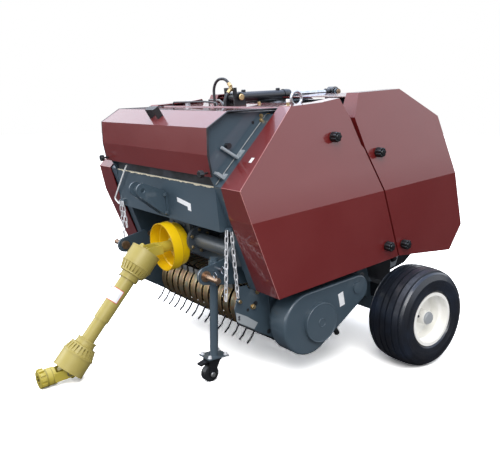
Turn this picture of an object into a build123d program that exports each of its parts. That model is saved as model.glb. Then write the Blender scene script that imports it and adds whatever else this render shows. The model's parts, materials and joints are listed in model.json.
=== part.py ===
from build123d import *
import os
from math import atan2, cos, degrees, hypot, pi, radians, sin, tan

os.makedirs("parts", exist_ok=True)

# Mini round baler, in millimetres and degrees. Outlines are (y, z) points of the level machine:
# y runs backwards from the wheel axle, z upwards from the ground. The machine parks nose down.

# Stance
nose_down = 6.0
axle_y = 517.3
tyre_diameter = 410.0
tyre_width = 190.0
wheel_radius = tyre_diameter / 2
axle_half = 30.0

# Sheet, fits and gaps
sheet = 3.0
plate_thickness = 6.0
running_gap = 0.05
seam_gap = 8.0
roller_end_gap = 4.0
wall_gap = 10.0
cover_gap = 2.0

# Widths, from the rollers outwards
roller_length = 760.0
tailgate_wall_x = roller_length / 2 + roller_end_gap
wall_x = tailgate_wall_x + plate_thickness + wall_gap
wall_outer = wall_x + plate_thickness
cover_inner_x = wall_x + 52.0
crease_x = cover_inner_x + 135.0
hood_half = wall_x + 33.0
track_half = crease_x + 50.0

# Body
crease_z = 745.0
cover_lean = 10.35
panel_step = 8.0
cover_top_z = 1112.0
nose = (-790.0, 859.0)
nose_crease = (-766.0, 742.0)
front_foot = (-672.0, 448.0)
front_top_y = -508.0
front_top_end_y = -346.0
hinge = (-215.0, 1040.0)
seam_top = (-181.0, 920.0)
seam_mid = (-113.0, crease_z)
seam_foot = (-37.0, 458.0)
notch_half = 8.0

# Chamber
chamber = (-100.0, 690.0)
roller_ring = 345.0
roller_radius = 60.0
stub_radius = 15.0
bearing_radius = 38.0
bearing_thickness = 10.0
front_roller_angles = (123, 153, 183, 243, 273)
rear_roller_angles = (93, 63, 33, 3, 333, 303)

# Hood
hood_outline = ((-497, 1104), (-721, 1116), (-812, 1069), (-819, 976), (-810, 898))
hood_hinge = (-487.0, 1101.0)
hood_pin_radius = 6.0

# Hitch and drive
pto_z = 565.0
joint_y = -880.0
lower_pin = (-818.0, 518.0)
lower_pin_radius = 11.0
lower_pin_length = 80.0
lower_shoulder_x = 341.5
hitch_plate_thickness = 10.0
upper_hole = (-880.0, 820.0)
upper_hole_radius = 9.75
upper_ear_gap = 52.0
upper_ear_thickness = 8.0
beam_front_y = -780.0
beam_low_z = 690.0
beam_high_z = 855.0
hitch_beam_front = -655.0
hitch_beam_size = 40.0
hitch_beam_low = 500.0

# Drive shaft, from the near joint to the far joint
far_joint_parked = (-1262.0, 46.0)
cup_radius = 62.5
cup_length = 72.0
guard_radius = 31.0
guard_sheet = 3.0
cross_radius = 9.0
cross_reach = 34.0
ear_thickness = 8.0
ear_radius = 18.0
bridge_start = 50.0
bridge_thickness = 10.0
far_yoke_droop = 6.0
far_hub_radius = 34.0
far_hub_length = 62.0
spline_radius = 17.5

# Jack
leg_x = 310.0
leg_y = -790.0
leg_radius = 16.0
leg_top_z = 490.0
sleeve_low_z = 400.0
sleeve_high_z = 478.0
sleeve_radius = 21.0
caster_radius = 32.0
caster_width = 26.0
caster_trail = 20.0
caster_plate_z = 98.0
caster_plate = (74.0, 92.0, 5.0)

# Pickup
reel = (-540.0, 305.0)
strip_radius = 100.0
strip_width = 36.0
tine_pitch = 51.7
tine_count = 15
tine_tip_radius = 165.0
tine_wire = 5.0
tine_angle = 216.4
reel_bar_radius = 70.0
reel_gap = 5.0
pickup_sheet = 5.0

# Lift cylinder
lift_base = (-380.0, 1135.0)
lift_eye = (190.0, 1110.0)
barrel_radius = 21.0
barrel_length = 296.0
rod_radius = 10.0
lift_pin_radius = 10.0

machine = Plane(
    origin=(0, axle_y, wheel_radius),
    x_dir=(1, 0, 0),
    z_dir=(0, -sin(radians(nose_down)), cos(radians(nose_down))),
)
up = Axis(machine.origin, machine.z_dir)
sides = (("left", 1), ("right", -1))


def spot(x, y, z):
    """A point of the level machine, where the parked machine carries it."""
    return machine.from_local_coords(Vector(x, y, z - wheel_radius))


def side_plane(x):
    """The machine's upright plane at x, drawn in y and z."""
    return Plane(spot(x, 0, 0), x_dir=machine.y_dir, z_dir=machine.x_dir)


def level_plane(z):
    """The machine's floor plane at z, drawn in x and y."""
    return Plane(spot(0, 0, z), x_dir=machine.x_dir, z_dir=machine.z_dir)


def front_plane(y):
    """The machine's cross plane at y, drawn in x and z and facing forwards."""
    return Plane(spot(0, y, 0), x_dir=machine.x_dir, z_dir=-machine.y_dir)


def plate(outline, x_from, x_to, mode=Mode.ADD):
    """Add or cut a plate with a (y, z) outline, between two values of x."""
    with BuildSketch(side_plane(x_from)) as profile:
        with BuildLine():
            Polyline(*outline, close=True)
        make_face()
    extrude(profile.sketch, amount=x_to - x_from, mode=mode)


def disc(centre, radius, x_from, x_to, mode=Mode.ADD):
    """Add or cut a round bar along x, about a (y, z) centre."""
    with BuildSketch(side_plane(x_from)) as profile:
        with Locations(centre):
            Circle(radius)
    extrude(profile.sketch, amount=x_to - x_from, mode=mode)


def block(x_range, y_range, z_range, mode=Mode.ADD):
    """Add or cut a square block of the level machine."""
    with BuildSketch(level_plane(z_range[0])) as profile:
        with Locations((sum(x_range) / 2, sum(y_range) / 2)):
            Rectangle(x_range[1] - x_range[0], y_range[1] - y_range[0])
    extrude(profile.sketch, amount=z_range[1] - z_range[0], mode=mode)


def round_plate(first, first_radius, second, second_radius, x_from, x_to):
    """Add a plate whose outline wraps two circles."""
    with BuildSketch(side_plane(x_from)) as profile:
        with Locations(first):
            Circle(first_radius)
        with Locations(second):
            Circle(second_radius)
        make_hull()
    extrude(profile.sketch, amount=x_to - x_from)


def spin(profile_points, plane, axis):
    """Revolve a closed profile drawn on a plane."""
    with BuildSketch(plane) as profile:
        with BuildLine():
            Polyline(*profile_points, close=True)
        make_face()
    revolve(profile.sketch, axis=axis)


def polar(centre, radius, angle):
    """The (y, z) point at an angle on a circle."""
    return centre[0] + radius * cos(radians(angle)), centre[1] + radius * sin(radians(angle))


def cross_section(side, outer_x, step=0.0):
    """Keep what lies inside a cover's cross-section, upright below the crease and leaning above it."""
    top = 1300.0
    edge = outer_x - step
    with BuildSketch(front_plane(700)) as section:
        with BuildLine():
            Polyline(
                (0, 0),
                (side * edge, 0),
                (side * edge, crease_z),
                (side * (edge - (top - crease_z) * tan(radians(cover_lean))), top),
                (0, top),
                close=True,
            )
        make_face()
    extrude(section.sketch, amount=1600, mode=Mode.INTERSECT)


# Chassis: side frames
frame_outline = (
    (-803, 903),
    (-812, 974),
    (-805, 1062),
    (-718, 1106),
    (-500, 1094),
    (hinge[0] - 30, 1094),
    (hinge[0] - 4, hinge[1] + 30),
    (hinge[0] + 22, hinge[1] - 12),
    (seam_top[0] - 14, seam_top[1]),
    (seam_mid[0] - 14, seam_mid[1]),
    (seam_foot[0] - 14, seam_foot[1]),
    (-30, 330),
    (45, wheel_radius + axle_half),
    (-45, wheel_radius + axle_half),
    (-120, 290),
    (-330, 325),
    (-400, 430),
    (front_foot[0] + 8, front_foot[1] + 2),
    (-735, 685),
    (beam_front_y, beam_low_z),
    (nose[0] + 6, nose[1] - 1),
)
hinge_pin_radius = 12.0
post_radius = 9.0
front_posts = ((-337.0, 984.0), (-109.0, 518.0))
rear_posts = ((-118.0, 897.0), (-11.0, 504.0))
flange_top = (-530.0, 1086.0)

for side_name, side in sides:
    with BuildPart() as side_frame:
        plate(frame_outline, side * wall_x, side * wall_outer)
        strip = (nose, (nose[0] + 8, nose[1]), (front_foot[0] + 7, front_foot[1]), front_foot)
        plate([(y + 4, z) for y, z in strip], side * wall_x, side * (cover_inner_x - cover_gap))
        upper_flange = (
            (nose[0] + 4, nose[1] - 3),
            flange_top,
            (flange_top[0] + 4, flange_top[1] - 5),
            (nose[0] + 8, nose[1] - 8),
        )
        plate(upper_flange, side * wall_outer, side * (cover_inner_x - cover_gap))
        for angle in front_roller_angles:
            centre = polar(chamber, roller_ring, angle)
            disc(centre, bearing_radius, side * wall_outer, side * (wall_outer + bearing_thickness))
            disc(
                centre,
                stub_radius + running_gap,
                side * (wall_x - 1),
                side * (wall_outer + bearing_thickness + 1),
                Mode.SUBTRACT,
            )
        disc(hinge, hinge_pin_radius, side * (tailgate_wall_x - 3), side * (wall_outer + 12))
        disc(hinge, 24, side * wall_outer, side * (wall_outer + 8))
    side_frame.part.label = f"side_frame_{side_name}"
    export_step(side_frame.part, f"parts/side_frame_{side_name}.step")

# Covers: folded sheet boxes, open towards the machine and below
front_cover_outline = (
    nose,
    (front_top_y, cover_top_z),
    (front_top_end_y, cover_top_z),
    (seam_top[0] - seam_gap / 2, seam_top[1]),
    (seam_mid[0] - seam_gap / 2, seam_mid[1]),
    (seam_foot[0] - seam_gap / 2, seam_foot[1]),
    front_foot,
    nose_crease,
)
upper_panel_outline = (
    (front_top_end_y - 4, cover_top_z),
    (-262, 1118),
    (hinge[0] - notch_half, hinge[1]),
    (seam_top[0] - seam_gap / 2, seam_top[1] + 1),
    (seam_top[0] - seam_gap / 2 - 12, seam_top[1] - 1),
)
rear_cover_outline = (
    (hinge[0] + notch_half, hinge[1]),
    (-165, 1130),
    (67, 1125),
    (279, 994),
    (336, 747),
    (378, 507),
    (295, 407),
    (70, 442),
    (seam_foot[0] + seam_gap / 2, seam_foot[1]),
    (seam_mid[0] + seam_gap / 2, seam_mid[1]),
    (seam_top[0] + seam_gap / 2, seam_top[1]),
)

for side_name, side in sides:
    with BuildPart() as main_panel:
        plate(front_cover_outline, side * cover_inner_x, side * (crease_x + 20))
        cross_section(side, crease_x)
    with BuildPart() as cover_front:
        plate(upper_panel_outline, side * cover_inner_x, side * (crease_x + 20))
        cross_section(side, crease_x, panel_step)
        add(main_panel.part)
        inner_faces = cover_front.faces().filter_by(Axis.X).sort_by(Axis.X)
        inner_face = inner_faces[0] if side > 0 else inner_faces[-1]
        foot_face = cover_front.faces().sort_by(up)[0]
        offset(amount=-sheet, openings=[inner_face, foot_face])
        for post in front_posts:
            disc(post, post_radius + 1, side * cover_inner_x, side * (crease_x + 5), Mode.SUBTRACT)
    cover_front.part.label = f"cover_front_{side_name}"
    export_step(cover_front.part, f"parts/cover_front_{side_name}.step")

for side_name, side in sides:
    with BuildPart() as cover_rear:
        plate(rear_cover_outline, side * cover_inner_x, side * (crease_x + 20))
        cross_section(side, crease_x)
        inner_faces = cover_rear.faces().filter_by(Axis.X).sort_by(Axis.X)
        inner_face = inner_faces[0] if side > 0 else inner_faces[-1]
        foot_faces = cover_rear.faces().sort_by(up)[:2]
        offset(amount=-sheet, openings=[inner_face, *foot_faces])
        for post in rear_posts:
            disc(post, post_radius + 1, side * cover_inner_x, side * (crease_x + 5), Mode.SUBTRACT)
    cover_rear.part.label = f"cover_rear_{side_name}"
    export_step(cover_rear.part, f"parts/cover_rear_{side_name}.step")


def cover_posts(places, wall_face):
    """Add the posts and knobs that hold the covers on both sides."""
    for _, side in sides:
        for place in places:
            lean = max(0.0, place[1] - crease_z) * tan(radians(cover_lean))
            skin_x = crease_x - lean
            disc(place, post_radius, side * wall_face, side * (skin_x + 8))
            disc(place, knob_washer_radius, side * (skin_x + knob_lift), side * (skin_x + 8))
            disc(place, knob_radius, side * (skin_x + 8), side * (skin_x + 8 + knob_length))


knob_radius = 17.0
knob_washer_radius = 19.0
knob_length = 22.0
knob_lift = 4.0
with BuildPart() as front_knobs:
    cover_posts(front_posts, wall_x + plate_thickness)
front_knobs.part.label = "front_knobs"
export_step(front_knobs.part, "parts/front_knobs.step")

with BuildPart() as rear_knobs:
    cover_posts(rear_posts, tailgate_wall_x + plate_thickness)
rear_knobs.part.label = "rear_knobs"
export_step(rear_knobs.part, "parts/rear_knobs.step")

# Front cross plate between the side frames, with folded edges
beam_half = wall_x
fold = 15.0
with BuildPart() as cross_plate:
    block((-beam_half, beam_half), (beam_front_y, beam_front_y + plate_thickness), (beam_low_z, beam_high_z))
    for low in (beam_low_z, beam_high_z - plate_thickness):
        block((-beam_half, beam_half), (beam_front_y, beam_front_y + fold), (low, low + plate_thickness))
cross_plate.part.label = "cross_plate"
export_step(cross_plate.part, "parts/cross_plate.step")

# Upper hitch: two ears on the cross plate
with BuildPart() as upper_hitch:
    ear_inner = upper_ear_gap / 2
    ear_outer = ear_inner + upper_ear_thickness
    for _, side in sides:
        with BuildSketch(side_plane(side * ear_inner)) as ear:
            with Locations(upper_hole):
                Circle(28)
            with Locations((beam_front_y - 4, 750)):
                Rectangle(8, 100)
            make_hull()
            with Locations(upper_hole):
                Circle(upper_hole_radius, mode=Mode.SUBTRACT)
        extrude(ear.sketch, amount=side * upper_ear_thickness)
    block((-ear_outer - 10, ear_outer + 10), (beam_front_y - 8, beam_front_y), (705, 795))
upper_hitch.part.label = "upper_hitch"
export_step(upper_hitch.part, "parts/upper_hitch.step")

# Lower hitch: a square beam between the side frames, with a plate and a pin each side
plate_inner_x = lower_shoulder_x - hitch_plate_thickness
hitch_end_radius = 33.0
drive_tube_centre = (-690.0, 590.0)
drive_tube_radius = 31.0
with BuildPart() as lower_hitch:
    block(
        (-wall_x, wall_x),
        (hitch_beam_front, hitch_beam_front + hitch_beam_size),
        (hitch_beam_low, hitch_beam_low + hitch_beam_size),
    )
    for _, side in sides:
        with BuildSketch(side_plane(side * plate_inner_x)) as hitch_plate:
            with Locations(lower_pin):
                Circle(hitch_end_radius)
            with Locations((hitch_beam_front + 17, hitch_beam_low + 10)):
                Rectangle(36, 128)
            make_hull()
            with Locations(drive_tube_centre):
                Circle(drive_tube_radius + 3, mode=Mode.SUBTRACT)
        extrude(hitch_plate.sketch, amount=side * hitch_plate_thickness)
lower_hitch.part.label = "lower_hitch"
export_step(lower_hitch.part, "parts/lower_hitch.step")

with BuildPart() as hitch_pins:
    for _, side in sides:
        disc(lower_pin, lower_pin_radius, side * lower_shoulder_x, side * (lower_shoulder_x + lower_pin_length))
        disc(lower_pin, 19, side * (plate_inner_x - 10), side * plate_inner_x)
hitch_pins.part.label = "hitch_pins"
export_step(hitch_pins.part, "parts/hitch_pins.step")

# Gearbox, drive tube, input yoke and guard cone
pto_axis = Axis(spot(0, 0, pto_z), machine.y_dir)
gearbox_front = -715.0
gearbox_half = 82.0
flange_radius = 55.0
with BuildPart() as gearbox:
    block(
        (-gearbox_half, gearbox_half),
        (gearbox_front, hitch_beam_front + 70),
        (hitch_beam_low + hitch_beam_size, 680),
    )
    disc(drive_tube_centre, flange_radius, -gearbox_half - 28, -gearbox_half - 16)
    disc(drive_tube_centre, flange_radius, gearbox_half + 16, gearbox_half + 30)
    disc(drive_tube_centre, drive_tube_radius, -gearbox_half - 16, -gearbox_half)
    disc(drive_tube_centre, drive_tube_radius, gearbox_half, wall_x)
    disc(drive_tube_centre, flange_radius - 3, wall_x - 12, wall_x)
    spin(((gearbox_front - 22, pto_z), (gearbox_front - 22, pto_z + 45), (gearbox_front, pto_z + 45),
          (gearbox_front, pto_z)), side_plane(0), pto_axis)
gearbox.part.label = "gearbox"
export_step(gearbox.part, "parts/gearbox.step")

with BuildPart() as input_yoke:
    hub_rear = gearbox_front - 22
    hub_front = joint_y + bridge_start + 2
    hub_profile = (
        (hub_front, 0), (hub_front, 25), (hub_front + 20, 22), (hub_rear - 30, 22), (hub_rear - 28, 29),
        (hub_rear - 12, 29), (hub_rear - 10, 24), (hub_rear, 24), (hub_rear, 0),
    )
    spin([(y, pto_z + r) for y, r in hub_profile], side_plane(0), pto_axis)
    block(
        (-cross_reach, cross_reach),
        (joint_y + bridge_start, joint_y + bridge_start + bridge_thickness),
        (pto_z - ear_radius, pto_z + ear_radius),
    )
    for _, side in sides:
        ear_inner_x = cross_reach - ear_thickness
        with BuildSketch(side_plane(side * ear_inner_x)) as fork_ear:
            with Locations((joint_y, pto_z)):
                Circle(ear_radius)
            with Locations((joint_y + (bridge_start + 2) / 2, pto_z)):
                Rectangle(bridge_start + 2, 2 * ear_radius)
            with Locations((joint_y, pto_z)):
                Circle(cross_radius + running_gap, mode=Mode.SUBTRACT)
        extrude(fork_ear.sketch, amount=side * ear_thickness)
input_yoke.part.label = "input_yoke"
export_step(input_yoke.part, "parts/input_yoke.step")

cone_rear = gearbox_front - 7.0
cone_front = -808.0
cone_profile = (
    (cone_rear, 46), (cone_rear, 82), (cone_rear - 7, 89), (-762, 94), (-765, 100), (cone_front, 100),
    (cone_front, 97), (-767, 97), (-764, 91), (cone_rear - 8, 86), (cone_rear - 3, 80), (cone_rear - 3, 46),
)
with BuildPart() as guard_cone:
    spin([(y, pto_z + r) for y, r in cone_profile], side_plane(0), pto_axis)
guard_cone.part.label = "guard_cone"
export_step(guard_cone.part, "parts/guard_cone.step")

# Twine box under the hood: floor, back and front lip between the side frames
box_half = wall_x - 0.5
box_floor_z = 895.0
box_front_y = -800.0
box_back_y = -540.0
box_lip_z = 925.0
box_web_y = -772.0
with BuildPart() as twine_box:
    across = (-box_half, box_half)
    block(across, (box_front_y, box_back_y), (box_floor_z, box_floor_z + sheet))
    block(across, (box_back_y - sheet, box_back_y), (box_floor_z, cover_top_z - 22))
    block(across, (box_front_y, box_front_y + sheet), (box_floor_z, box_lip_z))
    block(across, (box_web_y, box_web_y + sheet), (beam_high_z, box_floor_z))
twine_box.part.label = "twine_box"
export_step(twine_box.part, "parts/twine_box.step")

# Top plate with the hood's hinge rod
top_plate_z = cover_top_z - 17.0
top_plate_thickness = 5.0
top_plate_front = -478.0
top_plate_rear = -262.0
with BuildPart() as top_plate:
    block(
        (-cover_inner_x, cover_inner_x),
        (top_plate_front, top_plate_rear),
        (top_plate_z, top_plate_z + top_plate_thickness),
    )
    disc(hood_hinge, hood_pin_radius, -hood_half + 3, hood_half - 3)
    for x in (-wall_x + 40, 0, wall_x - 40):
        block((x - 15, x + 15), (hood_hinge[0], top_plate_front), (top_plate_z, top_plate_z + top_plate_thickness))
top_plate.part.label = "top_plate"
export_step(top_plate.part, "parts/top_plate.step")

# Lifting ring on the left, a bent wire on a foot
ring_spot = (cover_inner_x - 22, -405.0)
ring_radius = 25.0
ring_wire = 5.5
with BuildPart() as lifting_ring:
    ring_foot = top_plate_z + top_plate_thickness
    block(
        (ring_spot[0] - 10, ring_spot[0] + 10),
        (ring_spot[1] - 14, ring_spot[1] + 14),
        (ring_foot, ring_foot + 6),
    )
    ring_centre = spot(*ring_spot, ring_foot + ring_radius + ring_wire)
    rim_spot = ring_centre + ring_radius * machine.y_dir
    with BuildSketch(Plane(rim_spot, x_dir=machine.y_dir, z_dir=machine.z_dir)) as wire:
        Circle(ring_wire)
    revolve(wire.sketch, axis=Axis(ring_centre, machine.x_dir))
lifting_ring.part.label = "lifting_ring"
export_step(lifting_ring.part, "parts/lifting_ring.step")

# Hood: one folded sheet over the twine box, with its handle and latches
with BuildPart() as hood:
    plate(hood_outline, -hood_half, hood_half)
    end_faces = hood.faces().filter_by(Axis.X)
    back_face = hood.faces().filter_by(Axis.X, reverse=True).sort_by(SortBy.AREA)[-1]
    offset(amount=-sheet, openings=[*end_faces, back_face])
hood.part.label = "hood"
export_step(hood.part, "parts/hood.step")

# Hood handle, a bent strap standing on the upper slope, and a round knob at each lower corner
handle_width = 68.0
handle_height = 42.0
handle_depth = 26.0
strap_thickness = 5.0
hood_knob = (hood_half - 22.0, 912.0)
hood_knob_radius = 13.0
slope = (hood_outline[1], hood_outline[2])
slope_angle = degrees(atan2(slope[0][1] - slope[1][1], slope[0][0] - slope[1][0]))
slope_middle = ((slope[0][0] + slope[1][0]) / 2, (slope[0][1] + slope[1][1]) / 2)
handle_plane = Plane(
    spot(0, *slope_middle),
    x_dir=machine.x_dir,
    z_dir=machine.z_dir.rotate(Axis((0, 0, 0), machine.x_dir), slope_angle),
)
with BuildPart() as hood_fittings:
    with BuildSketch(Plane(handle_plane.origin, x_dir=handle_plane.x_dir, z_dir=-handle_plane.y_dir)) as strap:
        with Locations((0, handle_height / 2)):
            Rectangle(handle_width, handle_height)
        with Locations((0, (handle_height - strap_thickness) / 2)):
            Rectangle(handle_width - 2 * strap_thickness, handle_height - strap_thickness, mode=Mode.SUBTRACT)
    extrude(strap.sketch, amount=handle_depth / 2, both=True)
    for _, side in sides:
        for start_y, radius, length in ((-812.5, 4, 22), (-834, hood_knob_radius, 14)):
            with BuildSketch(front_plane(start_y)) as knob:
                with Locations((side * hood_knob[0], hood_knob[1])):
                    Circle(radius)
            extrude(knob.sketch, amount=length)
hood_fittings.part.label = "hood_fittings"
export_step(hood_fittings.part, "parts/hood_fittings.step")

# Pickup: side plates, curved strips and the plate that leads the crop in
pickup_outline = (
    (-717, 466), (-748, 384), (-740, 329), (-547, 192), (-480, 150), (-378, 165), (-365, 330), (-400, 440),
    (-677, 446), (-684, 463),
)
plate_outer = wall_outer + pickup_sheet
chain_peg = (-735.0, 417.0)
with BuildPart() as pickup_plates:
    for _, side in sides:
        plate(pickup_outline, side * wall_outer, side * plate_outer)
        disc(reel, 30, side * plate_outer, side * (plate_outer + 10))
        disc(reel, stub_radius + running_gap, side * wall_x, side * (plate_outer + 11), Mode.SUBTRACT)
    disc(chain_peg, 6, plate_outer, plate_outer + 20)
pickup_plates.part.label = "pickup_plates"
export_step(pickup_plates.part, "parts/pickup_plates.step")

strip_bar_radius = 6.0
strip_top = reel[1] + strip_radius
sweep_half = (tine_tip_radius**2 - strip_radius**2) ** 0.5
tail_end_y = reel[0] + sweep_half + reel_gap + 4
feed_end_y = -330.0
with BuildPart() as pickup_strips:
    with BuildSketch(side_plane(-strip_width / 2)) as band:
        with Locations(reel):
            Circle(strip_radius)
            Circle(strip_radius - sheet, mode=Mode.SUBTRACT)
        with Locations((reel[0] + strip_radius, reel[1])):
            Rectangle(2 * strip_radius, 3 * strip_radius, mode=Mode.SUBTRACT)
        for edge_z in (strip_top - sheet / 2, reel[1] - strip_radius + sheet / 2):
            with Locations(((reel[0] + tail_end_y) / 2, edge_z)):
                Rectangle(tail_end_y - reel[0], sheet)
    for column in range(tine_count - 1):
        x = (column - (tine_count - 2) / 2) * tine_pitch
        extrude(band.sketch.moved(Location((x, 0, 0))), amount=strip_width)
    block((-wall_x + 0.5, wall_x - 0.5), (tail_end_y - 1, feed_end_y), (strip_top - sheet, strip_top))
    strip_bar = (tail_end_y + strip_bar_radius - 1, reel[1] - strip_radius)
    disc(strip_bar, strip_bar_radius, -wall_outer, wall_outer)
pickup_strips.part.label = "pickup_strips"
export_step(pickup_strips.part, "parts/pickup_strips.step")

# Pickup reel: a shaft, end discs, bars and bent tines that pass between the strips
tine_rows = 4
bar_half = wall_x - 6
tine_line = ((reel_bar_radius, -13.0), (107.0, -5.5), (139.5, 0.0), (tine_tip_radius, 0.0))
with BuildPart() as pickup_reel:
    disc(reel, stub_radius, -plate_outer - 9, plate_outer + 9)
    for x in (-bar_half + 5, -130, 130, bar_half - 5):
        disc(reel, reel_bar_radius + 8, x - 3, x + 3)
    for row in range(tine_rows):
        row_angle = tine_angle + 360 / tine_rows * row
        disc(polar(reel, reel_bar_radius, row_angle + tine_line[0][1]), 7, -bar_half, bar_half)
        for column in range(tine_count):
            x = (column - (tine_count - 1) / 2) * tine_pitch
            with BuildSketch(side_plane(x - tine_wire / 2)) as tine:
                with BuildLine():
                    Polyline(*(polar(reel, radius, row_angle + turn) for radius, turn in tine_line))
                trace(line_width=tine_wire)
            extrude(tine.sketch, amount=tine_wire)
pickup_reel.part.label = "pickup_reel"
export_step(pickup_reel.part, "parts/pickup_reel.step")

# Chain case on the left side
with BuildPart() as chain_case:
    case_inner = wall_x + 22
    round_plate((-500, 290), 125, (-235, 358), 58, case_inner + 40, 545)
    fillet(chain_case.faces().sort_by(Axis.X)[-1].edges(), 10)
    disc((-450, 283), 78, 540, 560)
    disc((-240, 366), 24, 540, 552)
    disc((-500, 290), 100, case_inner, case_inner + 41)
chain_case.part.label = "chain_case"
export_step(chain_case.part, "parts/chain_case.step")

# Axle: a square beam across the side frames with a round stub for each wheel
hub_radius = 30.0
axle_stub_radius = 15.0
hub_inner_x = track_half - 45
with BuildPart() as axle:
    beam_end = wall_x + 70
    block((-beam_end, beam_end), (-axle_half, axle_half), (wheel_radius - axle_half, wheel_radius + axle_half))
    for _, side in sides:
        disc((0, wheel_radius), 28, side * beam_end, side * (hub_inner_x - 2))
        disc((0, wheel_radius), axle_stub_radius, side * (hub_inner_x - 2), side * (track_half + 60))
axle.part.label = "axle"
export_step(axle.part, "parts/axle.step")

# Wheels: a ribbed tyre on a deep rim
rim_radius = 101.6
rim_flange_radius = 112.0
rim_half = 87.0
wheel_axis = Axis(spot(0, 0, wheel_radius), machine.x_dir)
bead_radius = rim_radius + 2.5
groove_floor = wheel_radius - 7.0
tyre_right = (
    (10, wheel_radius), (12, groove_floor), (16, groove_floor), (18, wheel_radius), (42, 204), (44, groove_floor),
    (48, groove_floor), (50, 203), (70, 198.5), (72, 191), (75, 190), (78, 193), (86, 187),
    (tyre_width / 2, 165), (tyre_width / 2, 150), (rim_half + 4, rim_flange_radius + 8),
    (rim_half - 4.5, rim_flange_radius + 1), (rim_half - 4.5, bead_radius), (60, bead_radius),
    (60, rim_radius + 14), (84, 150), (70, 176), (0, 190),
)
tyre_profile = (*tyre_right, *((-x, radius) for x, radius in tyre_right[-2::-1]))
for side_name, side in sides:
    centre = Plane(spot(side * track_half, 0, wheel_radius), x_dir=side * machine.x_dir, z_dir=machine.y_dir)
    with BuildPart() as tyre:
        with BuildSketch(centre) as tyre_section:
            with BuildLine():
                Polyline(*tyre_profile, close=True)
            make_face()
        revolve(tyre_section.sketch, axis=wheel_axis)
    tyre.part.label = f"tyre_{side_name}"
    export_step(tyre.part, f"parts/tyre_{side_name}.step")

    with BuildPart() as rim:
        with BuildSketch(centre) as rim_section:
            with BuildLine():
                Polyline(
                    (-rim_half, rim_flange_radius), (-rim_half + 4, rim_flange_radius),
                    (-rim_half + 4, rim_radius + 2), (-60, rim_radius + 2), (-50, 94), (50, 94),
                    (60, rim_radius + 2), (rim_half - 4, rim_radius + 2), (rim_half - 4, rim_flange_radius),
                    (rim_half, rim_flange_radius), (rim_half, rim_radius - 2), (57, rim_radius - 2),
                    (47, 90), (6, 90), (0, 60), (0, hub_radius), (64, hub_radius), (64, 20), (70, 20), (70, 0),
                    (61, 0), (61, axle_stub_radius + running_gap), (-45, axle_stub_radius + running_gap),
                    (-45, hub_radius), (-5, hub_radius), (-5, 61), (-2, 90), (-47, 90), (-57, rim_radius - 2),
                    (-rim_half, rim_radius - 2), close=True,
                )
            make_face()
        revolve(rim_section.sketch, axis=wheel_axis)
    rim.part.label = f"rim_{side_name}"
    export_step(rim.part, f"parts/rim_{side_name}.step")

# Chamber rollers: front ones in the side frames, rear ones in the tailgate
for group, angles, stub_end in (
    ("front", front_roller_angles, wall_x + plate_thickness + bearing_thickness),
    ("rear", rear_roller_angles, tailgate_wall_x + plate_thickness + bearing_thickness),
):
    for number, angle in enumerate(angles, 1):
        centre = polar(chamber, roller_ring, angle)
        with BuildPart() as roller:
            disc(centre, roller_radius, -roller_length / 2, roller_length / 2)
            disc(centre, stub_radius, -stub_end, stub_end)
        roller.part.label = f"roller_{group}_{number}"
        export_step(roller.part, f"parts/roller_{group}_{number}.step")

# Tailgate: two walls joined by square tubes, with the cylinder's lugs on top
tailgate_outline = (
    (hinge[0] + 18, hinge[1] + 28), (-172, 1112), (60, 1108), (264, 985), (318, 747), (330, 510), (285, 424),
    (190, 415), (130, 338), (40, 338), (-4, 430), (seam_foot[0] + 14, seam_foot[1]), (seam_mid[0] + 14, seam_mid[1]),
    (seam_top[0] + 14, seam_top[1]), (hinge[0] + 26, hinge[1] - 12),
)
lift_lug_gap = 52.0
lug_pin_radius = 9.0
lug_radius = 15.0
lug_thickness = 8.0
tail_tubes = ((-30, 1078, 15), (190, 1045, 20), (278, 905, 17), (266, 450, 18))
with BuildPart() as tailgate_frame:
    for _, side in sides:
        plate(tailgate_outline, side * tailgate_wall_x, side * (tailgate_wall_x + plate_thickness))
        round_plate(
            hinge, 27, (hinge[0] + 60, hinge[1] - 10), 27, side * tailgate_wall_x,
            side * (tailgate_wall_x + plate_thickness),
        )
        for angle in rear_roller_angles:
            centre = polar(chamber, roller_ring, angle)
            inner = side * (tailgate_wall_x + plate_thickness)
            outer = side * (tailgate_wall_x + plate_thickness + bearing_thickness)
            disc(centre, bearing_radius, inner, outer)
            disc(centre, stub_radius + running_gap, side * (tailgate_wall_x - 1), outer + side, Mode.SUBTRACT)
        disc(hinge, hinge_pin_radius + running_gap, side * (tailgate_wall_x - 1), side * wall_x, Mode.SUBTRACT)
        with BuildSketch(side_plane(side * lift_lug_gap / 2)) as lug:
            with Locations(lift_eye):
                Circle(lug_radius)
            with Locations((lift_eye[0], 1060)):
                Rectangle(44, 10)
            make_hull()
        extrude(lug.sketch, amount=side * lug_thickness)
    for y, z, half in tail_tubes:
        block((-tailgate_wall_x, tailgate_wall_x), (y - half, y + half), (z - half, z + half))
    disc(lift_eye, lug_pin_radius, -lift_lug_gap / 2 - 14, lift_lug_gap / 2 + 14)
tailgate_frame.part.label = "tailgate_frame"
export_step(tailgate_frame.part, "parts/tailgate_frame.step")

# Sheet over the tailgate between the rear covers, open along the middle for the lift cylinder
roof_half = cover_inner_x - 6.0
roof_slot = 50.0
roof_outline = ((-160, 1113), (60, 1109.5), (150, 1055.5), (151.5, 1058), (61, 1112.5), (-160, 1116))
with BuildPart() as tailgate_roof:
    for _, side in sides:
        plate(roof_outline, side * roof_slot, side * roof_half)
tailgate_roof.part.label = "tailgate_roof"
export_step(tailgate_roof.part, "parts/tailgate_roof.step")

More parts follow.
